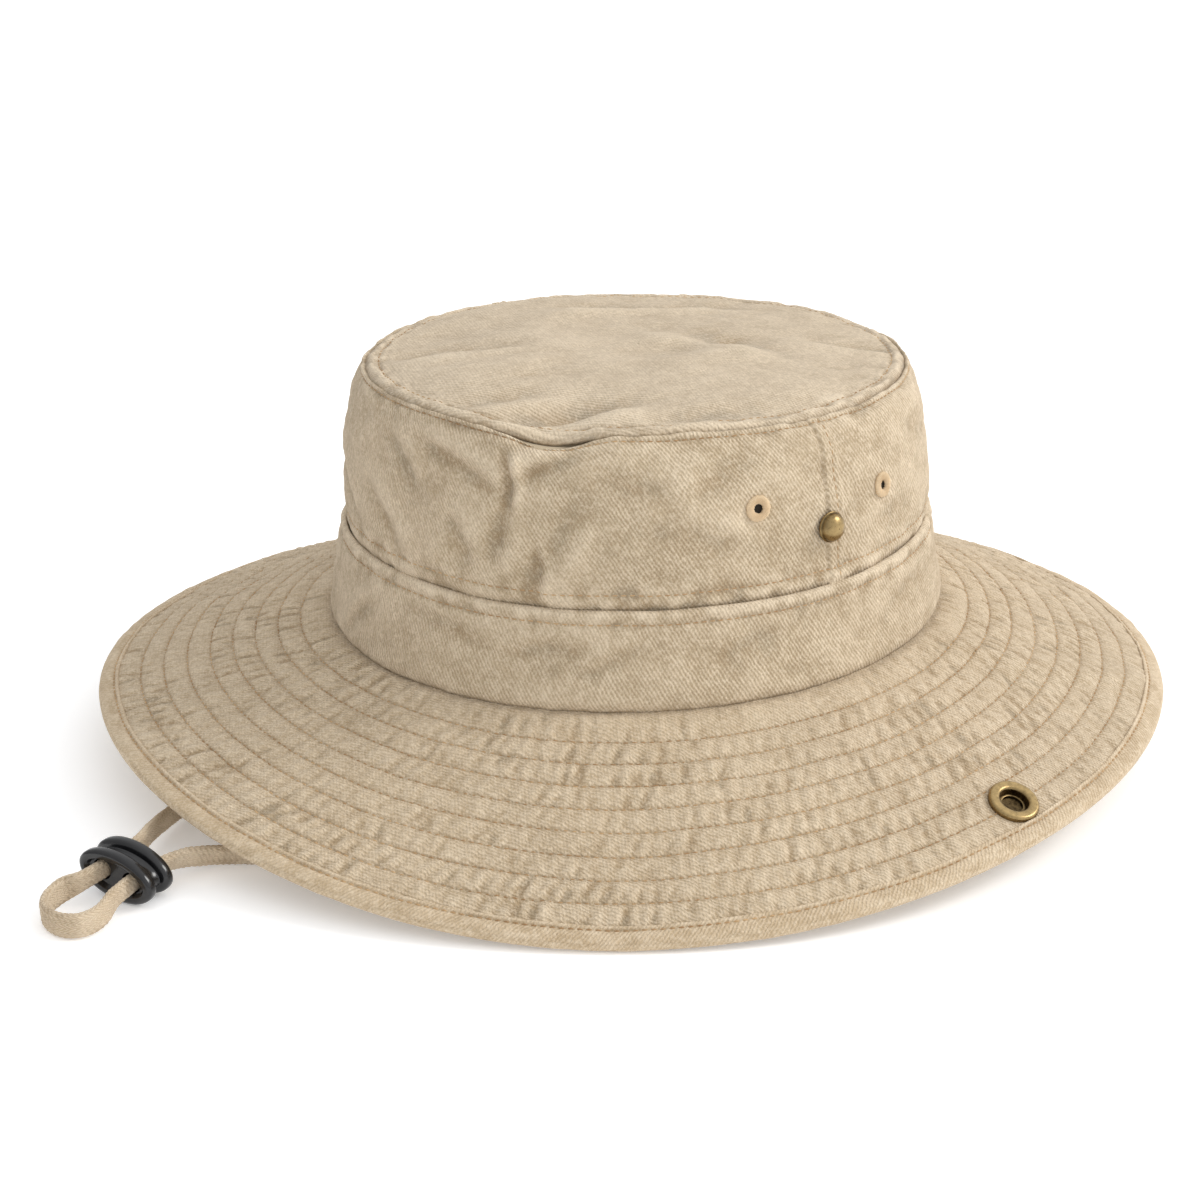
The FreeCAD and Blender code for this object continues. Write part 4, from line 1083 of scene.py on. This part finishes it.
def build_brim():
    """The brim in two halves. The left half also stands for the middle's cloths."""
    outer_edge = BINDING_START + 2.6 * MM
    beside_row = 0.35 * MM
    top_distances = segments((INNER_EDGE, outer_edge, 100),
                             *((row - beside_row, row + beside_row, 3) for row in ROWS))
    under_distances = np.linspace(INNER_EDGE, outer_edge, 76)
    for word, (start, end) in HALVES.items():
        parts = [word, "middle"] if word == "left" else [word]
        for name, place, distances, columns, layers in (
                ("brim_top_", brim_top, top_distances, 780, ("brim_top_", "brim_interlining_")),
                ("brim_under_", brim_under, under_distances, 620, ("brim_under_",))):
            grids = half_grid(place, start, end, columns, distances)
            if place is brim_top:
                grids = [grid[::-1] for grid in grids]
            points, tone, normals = grids
            if place is brim_under:
                normals = -normals
            piece = grid_mesh(name + word + "_twill", points, uv=points[..., :2], relief=tone,
                              normals=normals)
            across_fold(piece)
            fit_out(piece, BRIM_TWILL,
                    nodes=[layer + part for layer in layers for part in parts])
        build_binding(word, start, end)
        build_brim_stitches(word, start, end)


def binding_profile():
    """The tape's section: (distance down the slope, rise), from its inner top edge round to below."""
    tape = BINDING_START
    top = [(tape + d * MM, r * MM) for d, r in
           ((0.0, 0.05), (0.0, 0.55), (0.18, 0.86), (0.55, 0.98), (0.95, 0.88), (1.25, 0.62), (1.5, 0.46),
            (1.8, 0.56), (2.4, 0.78), (3.2, 0.90), (4.2, 0.94), (5.2, 0.86), (5.9, 0.66))]
    edge = SLOPE - 1.35 * MM
    middle = -BRIM_THICK / 2
    curve = [(edge + 1.35 * MM * math.sin(t), middle + 1.55 * MM * math.cos(t))
             for t in np.linspace(0.12 * math.pi, 0.88 * math.pi, 13)]
    below = [(x, -BRIM_THICK - r * 0.55) for x, r in reversed(top)]
    return np.array(top + curve + below)


def binding_place(angle, section):
    """The binding at an angle, and at one point of its section."""
    profile = binding_profile()
    distance = np.interp(section, np.arange(len(profile)), profile[:, 0])
    rise = np.interp(section, np.arange(len(profile)), profile[:, 1])
    u = round_share(angle)
    inner_share = (distance - BINDING_START) / BINDING
    ripple = noise(u + 0.0012 * inner_share, section * 0.35, 210, 81) * 0.16 * MM
    slow = noise(u, section * 0.1, 70, 82) * 0.15 * MM
    swell = brim_swell(angle, distance)
    bow = 0.35 * MM * noise(u, 0 * u, 45, 83) * (1 - inner_share)
    out = rise + swell + (ripple + slow) * np.sign(rise + BRIM_THICK / 2)
    points = brim_base(angle, distance + bow) + brim_normal(angle, distance) * out[..., None]
    points[..., 2] = np.maximum(points[..., 2], 0.12 * MM)
    # Tone: the ripples' tops paler and their hollows darker, as painted highlight and shade. Painted shade in
    # the stitch groove and on the tape's inner edge, and its ridge painted paler.
    tone = 0.75 * ripple / (0.16 * MM) + 0.2
    tone = tone - 1.0 * bump(distance - BINDING_START - 1.5 * MM, 0.4 * MM) * (rise > 0)
    tone = tone + 0.5 * bump(distance - BINDING_START - 0.5 * MM, 0.4 * MM) * (rise > 0)
    tone = tone - 1.0 * (section < 1)
    return points, tone


def build_binding(word, start, end):
    count = len(binding_profile())
    sections = np.linspace(0, count - 1, 2 * count - 1)
    columns, edge_radius = 800, 165 * MM
    points, tone, normals = half_grid(binding_place, start, end, columns, sections)
    run = run_of(points[columns // 2])
    angles = np.linspace(start, end, columns + 1)
    uv = np.stack(np.meshgrid(angles * edge_radius, run, indexing="ij"), -1)
    piece = grid_mesh("brim_binding_" + word + "_twill", points[::-1], uv=uv[::-1], relief=tone[::-1],
                      normals=normals[::-1])
    across_fold(piece)
    parts = [word, "front", "back"] if word == "left" else [word]
    fit_out(piece, BINDING_TWILL, nodes=["brim_binding_" + part for part in parts])


def build_brim_stitches(word, start, end):
    angles = np.linspace(start, end, 1400)
    groove = 6.0                        # the point of the binding's section that its stitches lie in
    for name, place, flip in (("top", brim_top, 1), ("under", brim_under, -1)):
        rows = []
        for index, row in enumerate(ROWS, start=1):
            distance = row + row_wander(angles, index)
            rows.append((place(angles, distance)[0], brim_normal(angles, distance) * flip))
        if name == "top":
            points, _ = binding_place(angles, groove + 0 * angles)
            rows.append((points, brim_normal(angles, BINDING_START + 0 * angles)))
        piece = stitch_rows("brim_stitches_" + name + "_" + word, rows, radius=0.25 * MM)
        fit_out(piece, STITCH)
        across_fold(piece)


# ---------------------------------------------------------------- eyelets and snaps

def placed(point, normal):
    """A matrix whose Z axis is a surface's normal."""
    return Matrix.Translation(point) @ Vector((0, 0, 1)).rotation_difference(normal).to_matrix().to_4x4()


def turned(name, profile, place, material, body, tones=None, count=96):
    """A round part turned about its own Z axis from (radius, height) corners in millimetres."""
    turn = np.linspace(0, 2 * np.pi, count, endpoint=False)[:, None]
    radius, height = np.array(profile).T * MM
    points = np.stack([radius * np.cos(turn), radius * np.sin(turn), height + 0 * turn], -1)
    relief = None if tones is None else np.array(tones) + 0 * turn
    piece = grid_mesh(name, points, closed_u=True, relief=relief)
    piece.data.transform(place)
    piece.data.set_sharp_from_angle(angle=math.radians(50))
    return fit_out(piece, material, body)


def wall_frame(angle, height):
    """A point of the wall and its normal, at an angle and a height."""
    shares = np.linspace(0, 0.8, 400)
    points = wall_base(np.full(400, angle), shares)
    index = int(np.argmin(np.abs(points[:, 2] - height)))
    share, angle = np.array(shares[index]), np.array(angle)
    step = 0.01
    across = wall_base(angle + step, share) - wall_base(angle - step, share)
    rise = wall_base(angle, share + step) - wall_base(angle, share - step)
    return Vector(points[index]), Vector(np.cross(across, rise)).normalized()


def build_eyelets():
    """Vent holes worked round with thread: a ring of close radial stitches."""
    spokes, tube, middle = 44, 14, 2.55 * MM
    around = np.linspace(0, 2 * np.pi, spokes * 6, endpoint=False)
    section = np.linspace(0, 2 * np.pi, tube, endpoint=False)
    a, s = np.meshgrid(around, section, indexing="ij")
    cord = 0.5 + 0.5 * np.cos(a * spokes)
    up = 0.95 * MM * np.sin(s) * (0.7 + 0.3 * cord) + 0.05 * MM
    for label, angle, height, side in EYELETS:
        point, normal = wall_frame(angle, height)
        wobble = noise(a / (2 * np.pi), 0 * a, spokes, 95 + side) * 0.12 * MM
        out = middle + (1.2 * MM + wobble) * np.cos(s)
        points = np.stack([out * np.cos(a), out * np.sin(a), up], -1)
        ring = grid_mesh("vent_eyelet_" + label, points, closed_u=True, closed_v=True, relief=cord * 2 - 1)
        ring.data.transform(placed(point + normal * 0.25 * MM, normal))
        fit_out(ring, EYELET_THREAD, "crown",
                ["vent_eyelets"] if label == "front_left" else [])
        turned("vent_hole_" + label, [(0.001, -0.75), (1.1, -0.7), (1.55, -0.2)],
               placed(point + normal * 0.35 * MM, normal), SHADE, "crown", count=32)


def arc(cx, cy, radius_x, radius_y, start, end, count):
    """Corners of a turned part along an oval arc, from one angle to another in degrees."""
    return [(cx + radius_x * math.cos(math.radians(t)), cy + radius_y * math.sin(math.radians(t)))
            for t in np.linspace(start, end, count)]


def brass_part(name, profile, tones, place, body, nodes=()):
    """A turned brass part. Each tone is the light painted on the metal at a corner: a painted highlight at 1,
    painted shade at -1.
    """
    piece = turned(name, profile, place, BRASS, body, tones)
    if nodes:
        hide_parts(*nodes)


# The tones paint light on the brass: painted highlights on the dome, the flange and the ring's roll, and
# painted shade in the recess round the stud's dome, down the socket ring's hole, on its floor and on the
# spring.
STUD = [(1.4, -1.8), (1.5, -0.1), (3.9, -0.1), (4.35, 0.0), (4.5, 0.25), (4.5, 0.7), (4.2, 0.95), (4.05, 1.2)]
STUD += arc(0, 1.2, 4.05, 2.55, 8, 88, 14)
STUD_TONES = [-1, -1, -0.9, -0.2, 0.5, 0.3, -0.9, -0.7, *np.linspace(-0.1, 0.75, 14)]
STUD_CAP = [(0.001, 0), (4.2, 0), (4.9, -0.15), (5.0, -0.5), (4.7, -0.85), (3.2, -0.95), (0.001, -0.75)]
STUD_CAP_TONES = [-1, -0.6, 0.4, 0.6, 0.5, 0, -0.5]
RING = [(7.35, -0.6), (7.4, 0.2), *arc(6.45, 0.85, 0.95, 0.95, 0, 90, 8),
        *arc(5.2, 0.95, 1.05, 0.85, 90, 180, 7), (4.15, 0.4), (4.0, -0.3), (3.9, -1.0), (2.3, -1.15),
        (0.001, -1.2)]
RING_TONES = [-0.8, -0.2, *np.linspace(0.1, 0.9, 8), *np.linspace(0.7, -0.5, 7), -1, -1, -1, -1, -1]
SPRING = [(3.95, -0.35), (3.5, -0.2), (3.1, -0.35), (3.0, -0.75)]
SPRING_TONES = [-1, -0.6, -0.4, -1]
RING_CAP = [(0.001, 0.3), (5.6, 0.3), (6.3, 0.1), (6.4, -0.2), (6.1, -0.5), (4.4, -0.6), (3.8, -0.35),
            (0.001, -0.3)]
RING_CAP_TONES = [-1, -0.6, 0.2, 0.6, 0.6, 0.1, -0.6, -0.2]


def build_snaps():
    """On each side a stud and its cap in the wall, and a socket ring, its spring and its cap in the brim."""
    for word, side in SIDES:
        point, normal = wall_frame(on_side(side, 0), STUD_HEIGHT)
        brass_part("stud_" + word + "_brass", STUD, STUD_TONES, placed(point + normal * 0.35 * MM, normal),
                   "crown", ["stud_" + word])
        cap_place = placed(middle_of("stud_cap_" + word) + normal * 0.3 * MM, normal)
        brass_part("stud_cap_" + word + "_brass", STUD_CAP, STUD_CAP_TONES, cap_place, "crown",
                   ["stud_cap_" + word])
        body = word + "_brim_side"
        centre = middle_of("socket_ring_" + word)
        angle = math.atan2(centre.y / BAND_HALF[1], centre.x / BAND_HALF[0])
        up = Vector(brim_normal(np.array(angle), np.array(SOCKET_DOWN)))
        ring_place = placed(centre - up * 0.1 * MM, up)
        brass_part("socket_ring_" + word + "_brass", RING, RING_TONES, ring_place, body,
                   ["socket_ring_" + word])
        brass_part("socket_spring_" + word, SPRING, SPRING_TONES, ring_place, body)
        brass_part("socket_cap_" + word + "_brass", RING_CAP, RING_CAP_TONES,
                   placed(middle_of("socket_cap_" + word), up), body, ["socket_cap_" + word])


# ---------------------------------------------------------------- the studio

CAMERA_PLACE = Vector((576.1, -474.3, 345.6)) * MM
CAMERA_FORWARD = Vector((-0.72224, 0.57585, -0.38310))
LENS = 76.9


def build_studio():
    """White paper under an even sky that is brighter at the wearer's back left, and one soft lamp."""
    half = 3.0
    corners = [(-half, -half, 0), (half, -half, 0), (half, half, 0), (-half, half, 0)]
    mesh = bpy.data.meshes.new("floor")
    mesh.from_pydata(corners, [], [(0, 1, 2, 3)])
    floor = add("floor", mesh)
    paper = bpy.data.materials.new("paper")
    paper.use_nodes = True
    shader = paper.node_tree.nodes["Principled BSDF"]
    shader.inputs["Base Color"].default_value = (0.97, 0.97, 0.97, 1)
    shader.inputs["Roughness"].default_value = 0.9
    shader.inputs["Specular IOR Level"].default_value = 0.1
    shader.inputs["Emission Color"].default_value = (1, 1, 1, 1)
    shader.inputs["Emission Strength"].default_value = 0.22
    floor.data.materials.append(paper)

    world = bpy.data.worlds.new("studio")
    bpy.context.scene.world = world
    world.use_nodes = True
    tree = world.node_tree
    where = tree.nodes.new("ShaderNodeTexCoord")
    towards = tree.nodes.new("ShaderNodeVectorMath")
    towards.operation = "DOT_PRODUCT"
    towards.inputs[1].default_value = (0.60, 0.62, 0.50)
    spread = tree.nodes.new("ShaderNodeMapRange")
    for socket, number in zip(spread.inputs[1:5], (-1.0, 1.0, 0.48, 1.27)):
        socket.default_value = number
    tree.links.new(where.outputs["Generated"], towards.inputs[0])
    tree.links.new(towards.outputs["Value"], spread.inputs[0])
    tree.links.new(spread.outputs[0], tree.nodes["Background"].inputs[1])
    tree.nodes["Background"].inputs[0].default_value = (0.985, 0.99, 1.0, 1)

    def aimed(name, data, place, forward):
        thing = add(name, data)
        thing.location = place
        thing.rotation_mode = "QUATERNION"
        thing.rotation_quaternion = forward.to_track_quat("-Z", "Y")
        return thing

    light = bpy.data.lights.new("key", "AREA")
    light.size, light.energy, light.color = 0.6, 11.0, (1.0, 0.985, 0.96)
    lamp_place, lamp_target = Vector((0.85, 1.05, 1.05)), Vector((0, 0, 0.05))
    aimed("key", light, lamp_place, lamp_target - lamp_place)

    camera = bpy.data.cameras.new("camera")
    camera.lens, camera.sensor_width, camera.clip_start = LENS, 36, 0.02
    bpy.context.scene.camera = aimed("camera", camera, CAMERA_PLACE, CAMERA_FORWARD)


bpy.context.scene.view_settings.view_transform = "Standard"
build_studio()
cord_piece, cord_line = build_cord()
toggle_piece = build_toggle()
build_crown()
build_linings()
build_tabs()
build_brim()
build_eyelets()
build_snaps()
